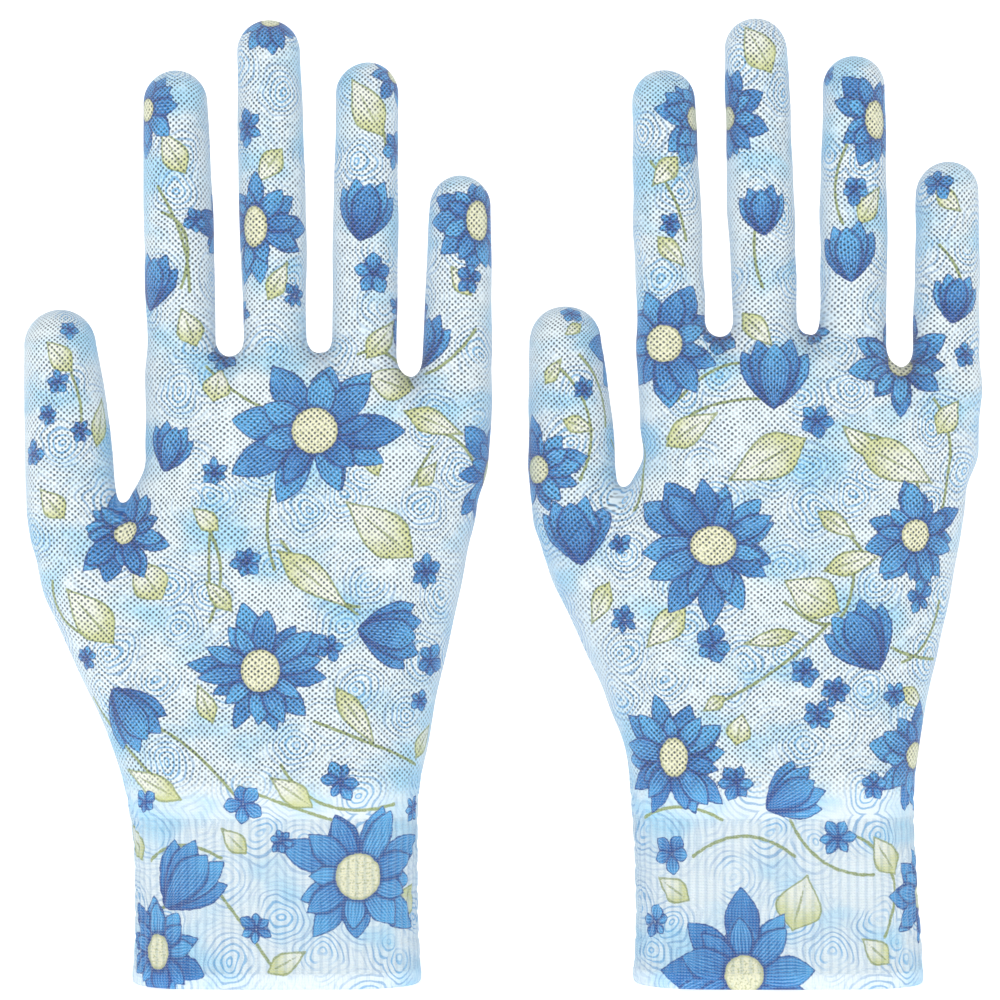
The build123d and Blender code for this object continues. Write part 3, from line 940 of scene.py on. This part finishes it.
def with_petals(shader, base, place):
    blue, vein, hatch = shader.fields("PrintBlue")
    tone, streak, disc = shader.fields("PrintTone")
    rough = shader.math("MULTIPLY_ADD", shader.noise(place, 0.8), 0.6, -0.3)
    mottle = shader.math("MULTIPLY_ADD", shader.noise(place, 0.28), 0.5, -0.25)
    depth = shader.math("ADD", tone, mottle)
    ink = shader.mix(shader.step(depth, 0.1, 0.5), colour(PETAL_DEEP), colour(PETAL_MIDDLE))
    ink = shader.mix(shader.step(depth, 0.45, 0.95), ink, colour(PETAL_LIGHT))
    phase = shader.math("MULTIPLY", shader.math("ADD", hatch, rough), 2 * math.pi)
    lines = shader.step(shader.math("COSINE", phase), 0.1, 0.8)
    dark = shader.math("MULTIPLY", lines, shader.math("MULTIPLY", streak, 0.85, clamp=True))
    ink = shader.mix(dark, ink, colour(PETAL_LINE))
    gleam = shader.step(shader.math("COSINE", phase), -0.6, -0.95)
    gleam = shader.math("MULTIPLY", gleam, shader.step(depth, 0.15, 0.7))
    ink = shader.mix(shader.math("MULTIPLY", gleam, 0.5), ink, colour(PETAL_GLEAM))
    outline = shader.step(shader.math("ADD", vein, shader.math("MULTIPLY", rough, 0.5)), 0.42, 0.16)
    ink = shader.mix(shader.math("MULTIPLY", outline, 0.85), ink, colour(PETAL_LINE))
    mask = shader.step(shader.math("ADD", blue, rough), 0.14, -0.1)
    base = shader.mix(mask, base, ink)
    dots = shader.math("MULTIPLY", shader.step(shader.noise(place, 1.7, 1.0), 0.5, 0.66), 0.55)
    rim = shader.math("MULTIPLY", shader.step(disc, -0.9, -0.1), 0.6)
    middle = shader.mix(shader.math("MAXIMUM", dots, rim), colour(DISC), colour(DISC_DOT))
    halo = shader.step(shader.math("ADD", disc, rough), 1.1, 0.3)
    base = shader.mix(shader.math("MULTIPLY", halo, 0.75), base, colour(PETAL_LINE))
    return shader.mix(shader.step(shader.math("ADD", disc, rough), 0.15, -0.15), base, middle)


def printed_surface(name, openness):
    """Printed polyester knit. openness is how much its pinholes show, above the cuff."""
    shader = Shader(name)
    flat, place = knit_place(shader)
    base = with_petals(shader, with_leaves(shader, swirled_ground(shader, flat), flat), flat)
    loops = stitches(shader, place)
    # painted highlight: the raised loops are lightened towards white
    base = shader.mix(shader.math("MULTIPLY", loops, 0.16), base, colour(LOOP_PAINTED_HIGHLIGHT))
    height_up = shader.node("ShaderNodeSeparateXYZ", {0: flat})
    above = shader.step(height_up.outputs[1], *RIB_EDGE)
    _, crotch_shade, stretch = shader.fields("StemShadeOpen")
    # painted shade: the knit is darkened towards the glove's sides, where it turns away from front and
    # back and its pinholes close
    side_shade = shader.math("SUBTRACT", 1.0, stretch)
    base = shader.mix(shader.math("MULTIPLY", side_shade, 0.3), base, colour(SIDE_PAINTED_SHADE), "MULTIPLY")
    opened = shader.math("MULTIPLY_ADD", stretch, 0.7, 0.3)
    opened = shader.math("MULTIPLY", shader.math("MULTIPLY", above, openness), opened)
    holes = shader.math("MULTIPLY", pinholes(shader, place), opened)
    shade = shader.mix(0.85, base, colour(HOLE_SHADE), "MULTIPLY")
    shade = shader.mix(0.5, shade, colour(HOLE_SHADE))
    base = shader.mix(holes, base, shade)
    # painted shade at the bottoms of the gaps between the stalls, where the knit is also gathered
    base = shader.mix(shader.math("MULTIPLY", crotch_shade, 0.4), base, colour(CROTCH_PAINTED_SHADE), "MULTIPLY")
    return shader, base, place, loops, holes, height_up.outputs[0]


def printed_knit():
    shader, base, _, loops, holes, _ = printed_surface("printed_knit_fabric", 1.0)
    height = shader.math("SUBTRACT", shader.math("MULTIPLY", loops, 0.5), holes)
    return shader.finish(base, height, 0.00016, 0.86, 0.3)


def rib_knit():
    shader, base, place, loops, holes, across = printed_surface("rib_knit_fabric", 1.0)
    phase = shader.math("MULTIPLY", across, 2 * math.pi / CUFF_RIB_PITCH)
    valley = shader.step(shader.math("COSINE", phase), 0.2, -0.95)
    # painted shade: the rib's valleys are darkened, besides their bump and the cuff's relief
    base = shader.mix(shader.math("MULTIPLY", valley, 0.22), base, colour(SWIRL), "MULTIPLY")
    up = shader.node("ShaderNodeSeparateXYZ", {0: place}).outputs[1]
    course = shader.math("COSINE", shader.math("MULTIPLY", up, 2 * math.pi / STITCH_PITCH[1]))
    base = shader.mix(shader.step(course, 0.3, 1.0), base, shader.mix(0.14, base, colour(SWIRL)))
    height = shader.math("ADD", loops, shader.math("MULTIPLY", valley, -0.8))
    return shader.finish(base, height, 0.00014, 0.88, 0.3)


def thread_surface(name, pale, dark, roughness, sheen):
    """Twisted or covered yarn: plies wound round, with a mottled colour and painted shade in the grooves
    between the plies.
    """
    shader = Shader(name)
    place = shader.node("ShaderNodeTexCoord").outputs["Object"]
    millimetres = shader.vector("MULTIPLY", place, (1000.0, 1000.0, 1000.0))
    mottle = shader.noise(millimetres, 0.6, 3.0)
    ply = shader.node(
        "ShaderNodeTexWave", {"Vector": millimetres, "Scale": 1.1, "Distortion": 1.2, "Detail": 2.0},
        bands_direction="DIAGONAL",
    ).outputs["Fac"]
    base = shader.mix(shader.step(mottle, 0.35, 0.7), colour(pale), colour(dark))
    # painted shade: the grooves between the plies, low in the bump, are darkened
    base = shader.mix(shader.math("MULTIPLY", shader.step(ply, 0.5, 0.1), 0.5), base, colour(dark))
    return shader.finish(base, ply, 0.00012, roughness, sheen)


def hem_thread():
    """The overlock's threads, printed with the rest of the glove."""
    shader, base, place, _, _, _ = printed_surface("hem_thread_yarn", 0.0)
    strand = shader.noise(shader.vector("MULTIPLY", place, (2.4, 0.5, 1.0)), 1.0)
    shaded = shader.math("MULTIPLY", shader.step(strand, 0.45, 0.7), 0.25)
    base = shader.mix(shaded, base, colour(SWIRL), "MULTIPLY")
    return shader.finish(base, strand, 0.0001, 0.8, 0.3)


def elastic_yarn():
    return thread_surface("elastic_covered_yarn", "#eeeeea", "#cfd4dc", 0.7, 0.2)


# ---------------------------------------------------------------- relief of the knit

CUFF_RIB_HEIGHT = 0.16
CUFF_RIB_PITCH = 2.1
CUFF_RIB_TOP = 45.0
ELASTIC_PITCH = 5.5
ELASTIC_PINCH = 0.22
SLUB_HEIGHT, SLUB_LENGTH = 0.16, 16.0
SLUB_SEED = {"left": 5, "right": 6}
WEB_FOOT = {"left": (-38.0, 118.0), "right": (-38.5, 122.0)}  # where the thumb's creases start
WEB_CREASES = ((-58, 26, 0.5), (-36, 22, 0.38), (-80, 24, 0.3))  # (degrees, length, depth)
PAINTED_SHADE_REACH = 3.0  # from a gap's bottom, how far its painted shade reaches, where the knit is also gathered


def slow_noise(p, scale, seed):
    """A soft sum of waves in seeded directions, roughly -1 to 1."""
    rng = np.random.default_rng(seed)
    total = np.zeros(len(p))
    for _ in range(9):
        direction = rng.normal(size=3)
        direction *= rng.uniform(0.6, 1.5) / (scale * np.linalg.norm(direction))
        total += np.sin(2 * math.pi * (p @ direction) + rng.uniform(0, 2 * math.pi))
    return total / 4


def web_folds(side, p):
    """Three soft creases that fan out from the thumb's root across the palm's edge."""
    folds = np.zeros(len(p))
    foot = WEB_FOOT[side]
    for angle, reach, depth in WEB_CREASES:
        turn = math.radians(angle)
        along = (p[:, 0] - foot[0]) * math.cos(turn) + (p[:, 2] - foot[1]) * math.sin(turn)
        across = (p[:, 2] - foot[1]) * math.cos(turn) - (p[:, 0] - foot[0]) * math.sin(turn)
        width = 1.4 + 0.05 * np.abs(along)
        fade = ease(along / 5) * (1 - ease((along - reach * 0.35) / (reach * 0.65)))
        groove = np.exp(-((across / width) ** 2))
        shoulder = 0.5 * np.exp(-((across / width / 2.2) ** 2))
        folds -= depth * fade * (groove - shoulder)
    return folds


def relief(side, p, u):
    """How far the knit stands off its smooth shape, in millimetres."""
    z = p[:, 2]
    cuff = 1 - ease((z - CUFF_RIB_TOP) / 7)
    ribs = CUFF_RIB_HEIGHT * np.cos(2 * math.pi * u / CUFF_RIB_PITCH) * cuff
    wave = np.cos(2 * math.pi * z / ELASTIC_PITCH)
    pinch = -ELASTIC_PINCH * np.maximum(wave, 0) ** 2 * cuff * ease((z - 4) / 3)
    slubs = SLUB_HEIGHT * slow_noise(p, SLUB_LENGTH, SLUB_SEED[side])
    return ribs + pinch + slubs * ease(z / 10) + web_folds(side, p)


# ---------------------------------------------------------------- pieces

FIRST_SPLIT_DROP = 1.2  # a stall's first piece starts this far below its root line
THUMB_SIDE, FINGER_SIDE = -32.0, -37.0  # thumb quads lie left of one, finger quads right of the other
CUFF_PIECE_TOP = CUFF_RIB_TOP - 5
BEYOND_TIP = 1e3
ROOT_BLEND = (-0.6, 10.0)  # from its root line, where a stall's first bend would start and end; worked out for each piece, but nothing is made from it
HALF_BLEND = 5.0  # either side of a stall's other flex lines, likewise worked out but not used
LINING_DROP = 1.0  # from the cuff's outer face to its inner one
MOUTH_TOP = 5.0  # the cuff's open rim at its mouth lies below this
HEM_TOP = 3.9
HEM_PROFILE = [
    (-1.15, 0.9), (-0.9, 0.15), (-0.3, 0.0), (0.1, 0.35), (0.24, 1.1), (0.28, 1.9), (0.22, 2.8),
    (0.04, 3.5), (-0.35, HEM_TOP),
]  # (outwards, up) from the rib's face
HEM_RELIEF = 0.11
HEM_SLANT = 0.22
STITCH_LENGTH = 1.5
ELASTIC_RADIUS = 0.27
ELASTIC_INSET = 1.65
ELASTIC_SIDES = 8
ELASTIC_STEP = 0.6
ELASTIC_SWELL, ELASTIC_TWIST = 0.12, 2.6
HEM_STEPS = 8  # points along each stitch
CONTOUR_RAYS, CONTOUR_HALVINGS = 720, 24
CONTOUR_REACH = 1.3  # past the hand's own half width and depth
ATLAS_LOW, ATLAS_HIGH = np.array([-72.0, -6.0]), np.array([66.0, 246.0])


def open_edges(quads):
    edges = np.sort(np.stack([quads, np.roll(quads, -1, 1)], 2).reshape(-1, 2), 1)
    unique, count = np.unique(edges, axis=0, return_counts=True)
    return unique[count == 1]


def halfway(hinges):
    """The places between neighbouring hinges, where one piece of a stall ends and the next begins."""
    return [(a + b) / 2 for a, b in zip(hinges[:-1], hinges[1:])]


class Glove:
    """One glove's whole outer face, with its print and the region each quad belongs to."""

    def __init__(self, side):
        self.side = side
        self.centre = glove_centre(side)
        self.shape = SHAPES[side]
        self.stalls = [read_stall(side, name, self.centre) for name in ("thumb",) + FINGERS]
        palm_side = PALM_SIDE[side]

        def measure(points):
            return distance(self.shape, self.stalls, palm_side, points)

        smooth, self.quads, out = glove_surface(measure)
        self.fields = printed_fields(side, self.shape, self.stalls, smooth)
        lift = relief(side, smooth, self.fields["u"])
        self.verts = smooth + lift[:, None] * out
        self.normals = vertex_normals(self.verts, self.quads)
        if (self.normals * out).sum() < 0:
            self.quads = self.quads[:, ::-1]
            self.normals = -self.normals
        self.front = smooth[:, 1] < 0
        self.crotch_shade = self.painted_crotch_shade(smooth)

    def painted_crotch_shade(self, p):
        """Nearness to the bottoms of the gaps between the stalls: painted shade, where the knit is also
        gathered.
        """
        shade = np.zeros(len(p))
        for across, height in self.shape.crotches:
            away = np.hypot(p[:, 0] - across, (p[:, 2] - height + 1.0) / 1.7)
            shade = np.maximum(shade, np.exp(-((away / PAINTED_SHADE_REACH) ** 2)))
        return shade

    def regions(self):
        """Each quad's piece: its name, and the quads that it holds."""
        taken = np.zeros(len(self.quads), bool)
        nearest = []
        middles = self.verts[self.quads].mean(1)
        for stall in self.stalls:
            nearest.append(stall_distance(self.shape, stall, PALM_SIDE[self.side], middles))
        own = np.argmin(nearest, axis=0)
        pieces = []
        for number, stall in enumerate(self.stalls):
            s = (middles - stall.root) @ stall.along
            if stall.name == "thumb":
                near = (own == number) & (middles[:, 0] < THUMB_SIDE)
            else:
                near = (own == number) & (middles[:, 0] > FINGER_SIDE)
            splits = [-FIRST_SPLIT_DROP, *halfway(stall.hinges), BEYOND_TIP]
            for index, part in enumerate(stall.parts):
                held = near & (s >= splits[index]) & (s < splits[index + 1]) & ~taken
                pieces.append((stall, index, part, held))
                taken |= held
        cuff = (middles[:, 2] < CUFF_PIECE_TOP) & ~taken
        return pieces, cuff, ~taken & ~cuff


def make_mesh(name, glove, held, material):
    """A mesh of some of a glove's quads, with the print's fields, the painted shade at the gaps' bottoms
    and the whole glove's normals.
    """
    used, quads = np.unique(glove.quads[held], return_inverse=True)
    quads = quads.reshape(-1, 4)
    fields = {key: value[used] for key, value in glove.fields.items()}
    fields["crotch_shade"] = glove.crotch_shade[used]
    return build_mesh(
        name, glove, glove.verts[used], quads, glove.normals[used], fields, glove.front[used], material
    )


def build_mesh(name, glove, verts, quads, normals, fields, front, material):
    places = (verts + glove.centre) * MM
    mesh = bpy.data.meshes.new(name)
    mesh.vertices.add(len(places))
    mesh.vertices.foreach_set("co", places.astype(np.float32).ravel())
    mesh.loops.add(quads.size)
    mesh.loops.foreach_set("vertex_index", quads.astype(np.int32).ravel())
    mesh.polygons.add(len(quads))
    mesh.polygons.foreach_set("loop_start", np.arange(0, quads.size, 4, dtype=np.int32))
    mesh.update(calc_edges=True)
    mesh.validate()
    mesh.shade_smooth()
    mesh.normals_split_custom_set_from_vertices(normals.tolist())
    # the stem group's second field is the painted shade at the gaps' bottoms, its third the pinholes'
    # openness
    groups = {
        "PrintBlue": ("blue", "vein", "hatch"), "PrintTone": ("tone", "streak", "disc"),
        "PrintLeaf": ("leaf", "green", "rib"), "StemShadeOpen": ("stem", "crotch_shade", "open"),
    }
    for group, names in groups.items():
        attribute = mesh.attributes.new(group, "FLOAT_VECTOR", "POINT")
        table = np.stack([fields[n] for n in names], 1)
        attribute.data.foreach_set("vector", table.astype(np.float32).ravel())
    knit = mesh.uv_layers.new(name="knit")
    uv = np.stack([fields["u"], fields["v"]], 1)[quads.ravel()]
    knit.data.foreach_set("uv", uv.astype(np.float32).ravel())
    atlas = mesh.uv_layers.new(name="OFBake")
    size = ATLAS_HIGH - ATLAS_LOW
    flat = (verts[:, (0, 2)] - ATLAS_LOW) / size
    face_front = front[quads].mean(1) > 0.5
    flat = flat[quads.ravel()] * (0.5, 1.0)
    flat[:, 0] += np.repeat(np.where(face_front, 0.0, 0.5), 4)
    atlas.data.foreach_set("uv", flat.astype(np.float32).ravel())
    mesh.uv_layers.active = knit
    mesh.materials.append(material)
    piece = bpy.data.objects.new(name, mesh)
    bpy.context.scene.collection.objects.link(piece)
    return piece


def in_frame(glove, point):
    return tuple((np.array(point) + glove.centre) * MM)


def add_stall_pieces(glove, pieces, material):
    side = glove.side
    for stall, index, part, held in pieces:
        piece = make_mesh(f"{side}_{stall.name}_{part}_knit", glove, held, material)
        hinge = stall.hinges[index]
        start, end = (hinge - HALF_BLEND, hinge + HALF_BLEND)
        if index == 0:
            start, end = ROOT_BLEND[0], min(ROOT_BLEND[1], halfway(stall.hinges)[0])
        start, end = (stall.root + stall.along * s for s in (start, end))
        in_frame(glove, start)
        in_frame(glove, end)
        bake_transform(piece)
        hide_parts(f"{side}_{stall.name}_{part}")


def add_palm_and_cuff(glove, cuff, palm, knit, rib):
    side = glove.side
    piece = make_mesh(f"{side}_palm_knit", glove, palm, knit)
    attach(piece, f"{side}_palm")
    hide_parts(f"{side}_palm")
    piece = make_cuff(glove, cuff, rib)
    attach(piece, f"{side}_palm")
    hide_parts(f"{side}_cuff_rib")


def make_cuff(glove, held, material):
    """The ribbed cuff with its inner face, the two joined round the mouth."""
    used, outer = np.unique(glove.quads[held], return_inverse=True)
    outer = outer.reshape(-1, 4)
    verts, normals = glove.verts[used], glove.normals[used]
    fields = {key: value[used] for key, value in glove.fields.items()}
    fields["crotch_shade"] = glove.crotch_shade[used]
    front = glove.front[used]
    inner_verts = verts - normals * LINING_DROP
    shift = len(verts)
    rim = open_edges(outer)
    rim = rim[verts[rim].mean(1)[:, 2] < MOUTH_TOP]
    directed = {edge for quad in outer for edge in zip(quad, np.roll(quad, -1))}
    walls = []
    for a, b in rim:
        if (a, b) not in directed:
            a, b = b, a
        walls.append((b, a, a + shift, b + shift))
    quads = np.concatenate([outer, outer[:, ::-1] + shift, np.array(walls)])
    fields = {key: np.concatenate([value, value]) for key, value in fields.items()}
    return build_mesh(
        f"{glove.side}_cuff_knit", glove, np.concatenate([verts, inner_verts]), quads,
        np.concatenate([normals, -normals]), fields, np.concatenate([front, front]), material
    )


def contour(glove, height, inset, pitch):
    """The cuff's outline at a height, inset, as evenly spaced (x, y, outward x, outward y, length)."""
    turn = np.linspace(0, 2 * math.pi, CONTOUR_RAYS, endpoint=False)
    centre, a, b = (float(v[0]) for v in section(glove.shape, np.array([height])))
    ray = np.stack([np.cos(turn) * a, np.sin(turn) * b], 1)
    inner, outer = np.zeros(len(turn)), np.full(len(turn), CONTOUR_REACH)
    for _ in range(CONTOUR_HALVINGS):
        middle = (inner + outer) / 2
        spots = middle[:, None] * ray + (centre, 0)
        points = np.column_stack([spots, np.full(len(turn), height)])
        within = hand_distance(glove.shape, points) < -inset
        inner, outer = np.where(within, middle, inner), np.where(within, outer, middle)
    ring = np.vstack([spots, spots[:1]])
    reach = np.concatenate([[0], np.cumsum(np.linalg.norm(np.diff(ring, axis=0), axis=1))])
    count = int(round(reach[-1] / pitch))
    at = np.arange(count) / count * reach[-1]
    x, y = np.interp(at, reach, ring[:, 0]), np.interp(at, reach, ring[:, 1])
    along = np.stack([np.roll(x, -1) - np.roll(x, 1), np.roll(y, -1) - np.roll(y, 1)], 1)
    along /= np.linalg.norm(along, axis=1)[:, None]
    return np.column_stack([x, y, along[:, 1], -along[:, 0], at])


def wrapped_rows(grid, closed):
    """Vertices and quads of rows of points that run right round, the last row joined to the first
    if closed."""
    rows, steps = grid.shape[:2]
    here = np.arange(steps)
    there = (here + 1) % steps
    quads = []
    for row in range(rows if closed else rows - 1):
        above = (row + 1) % rows * steps
        quads.append(np.stack([row * steps + here, row * steps + there, above + there, above + here], 1))
    return grid.reshape(-1, 3), np.concatenate(quads)


def add_yarn_piece(glove, name, grid, closed, material, node):
    """A ring of yarn that belongs to the cuff."""
    verts, quads = wrapped_rows(grid, closed)
    normals = vertex_normals(verts, quads)
    fields = printed_fields(glove.side, glove.shape, glove.stalls, verts)
    fields["crotch_shade"] = np.zeros(len(verts))
    piece = build_mesh(name, glove, verts, quads, normals, fields, verts[:, 1] < 0, material)
    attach(piece, f"{glove.side}_palm")
    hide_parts(node)


def add_hem(glove, material):
    """The cuff's rolled, overlocked edge, with its slanting stitches in relief."""
    around = contour(glove, HEM_TOP, 0.0, STITCH_LENGTH / HEM_STEPS)
    stitches = round(around[-1, 4] / STITCH_LENGTH)
    grid = []
    for off, z in HEM_PROFILE:
        slant = stitches * np.arange(len(around)) / len(around) + z * HEM_SLANT
        thread = HEM_RELIEF * (0.5 + 0.5 * np.cos(2 * math.pi * slant)) * (off > HEM_PROFILE[0][0])
        spots = around[:, :2] + (off + thread)[:, None] * around[:, 2:4]
        grid.append(np.column_stack([spots, np.full(len(spots), z)]))
    name = f"{glove.side}_hem"
    add_yarn_piece(glove, f"{name}_thread", np.array(grid), False, material, f"{name}_overlock")


def add_elastic(glove, material):
    """The covered elastic yarns laid in behind the rib, at the heights that the frame gives."""
    node = f"{glove.side}_cuff_elastic"
    heights = sorted({round(v.co.z / MM, 1) for v in frame["nodes"][node].data.vertices})
    lows = [z for z in heights if not any(0 < z - other < 1 for other in heights)]
    rings = []
    for low in lows:
        around = contour(glove, low + ELASTIC_RADIUS, ELASTIC_INSET, ELASTIC_STEP)
        rows = []
        for side in range(ELASTIC_SIDES):
            turn = 2 * math.pi * side / ELASTIC_SIDES
            swell = ELASTIC_RADIUS * (1 + ELASTIC_SWELL * np.cos(around[:, 4] * ELASTIC_TWIST + turn))
            spots = around[:, :2] + (swell * math.cos(turn))[:, None] * around[:, 2:4]
            rows.append(np.column_stack([spots, low + ELASTIC_RADIUS + swell * math.sin(turn)]))
        rings.append(np.array(rows))
    for number, ring in enumerate(rings):
        name = f"{glove.side}_elastic_yarn_{number + 1}"
        add_yarn_piece(glove, name, ring, True, material, node)


def make_gloves():
    knit, rib, hem, elastic = printed_knit(), rib_knit(), hem_thread(), elastic_yarn()
    for side in GLOVES:
        glove = Glove(side)
        pieces, cuff, palm = glove.regions()
        add_stall_pieces(glove, pieces, knit)
        add_palm_and_cuff(glove, cuff, palm, knit, rib)
        add_hem(glove, hem)
        add_elastic(glove, elastic)


# ---------------------------------------------------------------- floor, light and camera

FLOOR_RADIUS = 3.0
SWEEP_RADIUS = 0.8
WALL_TOP = 2.6
PAPER_GLOW = 0.4
LENS = 120.0
VIEW_WIDTH = 0.24
VIEW_CENTRE = (0.0, 0.1154)
AIM = (0, 0, 0.11)
WORLD_LIGHT = 0.4
SWEEP_STEPS = 16
FLOOR_SIDES = 96
# each lamp: its place, its size in metres and its power in watts
LAMPS = {
    "key": ((-0.9, -1.3, 1.1), 0.9, 7.0),
    "fill": ((1.2, -1.2, 0.5), 1.2, 2.0),
    "top": ((0.1, 0.3, 1.4), 1.0, 5.0),
}


def pale_paper():
    """Evenly lit white paper, with a faint grain."""
    shader = Shader("pale_paper")
    place = shader.node("ShaderNodeTexCoord").outputs["Object"]
    grain = shader.noise(place, 60.0)
    base = shader.mix(shader.step(grain, 0.3, 0.7), colour("#fbfbfb"), colour("#f7f7f8"))
    material = shader.finish(base, grain, 0.0001, 0.9, 0.0)
    surface = next(n for n in shader.tree.nodes if n.type == "BSDF_PRINCIPLED")
    surface.inputs["Emission Color"].default_value = (1, 1, 1, 1)
    surface.inputs["Emission Strength"].default_value = PAPER_GLOW
    return material


def add_stage():
    """A round floor that sweeps up into a backdrop on every side."""
    outline = [(FLOOR_RADIUS / 2, 0.0)]
    for step in range(SWEEP_STEPS + 1):
        turn = step / SWEEP_STEPS * math.pi / 2
        reach = FLOOR_RADIUS + SWEEP_RADIUS * math.sin(turn)
        outline.append((reach, SWEEP_RADIUS * (1 - math.cos(turn))))
    outline.append((FLOOR_RADIUS + SWEEP_RADIUS, WALL_TOP))
    verts = []
    for reach, height in outline:
        for side in range(FLOOR_SIDES):
            turn = 2 * math.pi * side / FLOOR_SIDES
            verts.append((reach * math.cos(turn), reach * math.sin(turn), height))
    faces = [tuple(range(FLOOR_SIDES))]
    for ring in range(len(outline) - 1):
        for side in range(FLOOR_SIDES):
            after = (side + 1) % FLOOR_SIDES
            row, above = ring * FLOOR_SIDES, (ring + 1) * FLOOR_SIDES
            faces.append((row + side, above + side, above + after, row + after))
    mesh = bpy.data.meshes.new("floor")
    mesh.from_pydata(verts, [], faces)
    mesh.shade_smooth()
    mesh.materials.append(pale_paper())
    floor = bpy.data.objects.new("floor", mesh)
    bpy.context.scene.collection.objects.link(floor)


def add_light(name, place, size, power):
    light = bpy.data.lights.new(name, "AREA")
    light.energy, light.size = power, size
    lamp = bpy.data.objects.new(name, light)
    lamp.location = place
    aim = Vector(AIM) - Vector(place)
    lamp.rotation_euler = aim.to_track_quat("-Z", "Y").to_euler()
    bpy.context.scene.collection.objects.link(lamp)


def add_studio():
    for name, (place, size, power) in LAMPS.items():
        add_light(name, place, size, power)
    world = bpy.data.worlds.new("studio")
    world.use_nodes = True
    world.node_tree.nodes["Background"].inputs["Color"].default_value = (1, 1, 1, 1)
    world.node_tree.nodes["Background"].inputs["Strength"].default_value = WORLD_LIGHT
    bpy.context.scene.world = world
    bpy.context.scene.view_settings.view_transform = "Standard"


def add_camera():
    camera = bpy.data.cameras.new("camera")
    camera.lens = LENS
    holder = bpy.data.objects.new("camera", camera)
    distance_back = VIEW_WIDTH * LENS / camera.sensor_width
    holder.location = (VIEW_CENTRE[0], -distance_back, VIEW_CENTRE[1])
    holder.rotation_euler = (math.pi / 2, 0, 0)
    bpy.context.scene.collection.objects.link(holder)
    bpy.context.scene.camera = holder


make_gloves()
add_stage()
add_studio()
add_camera()
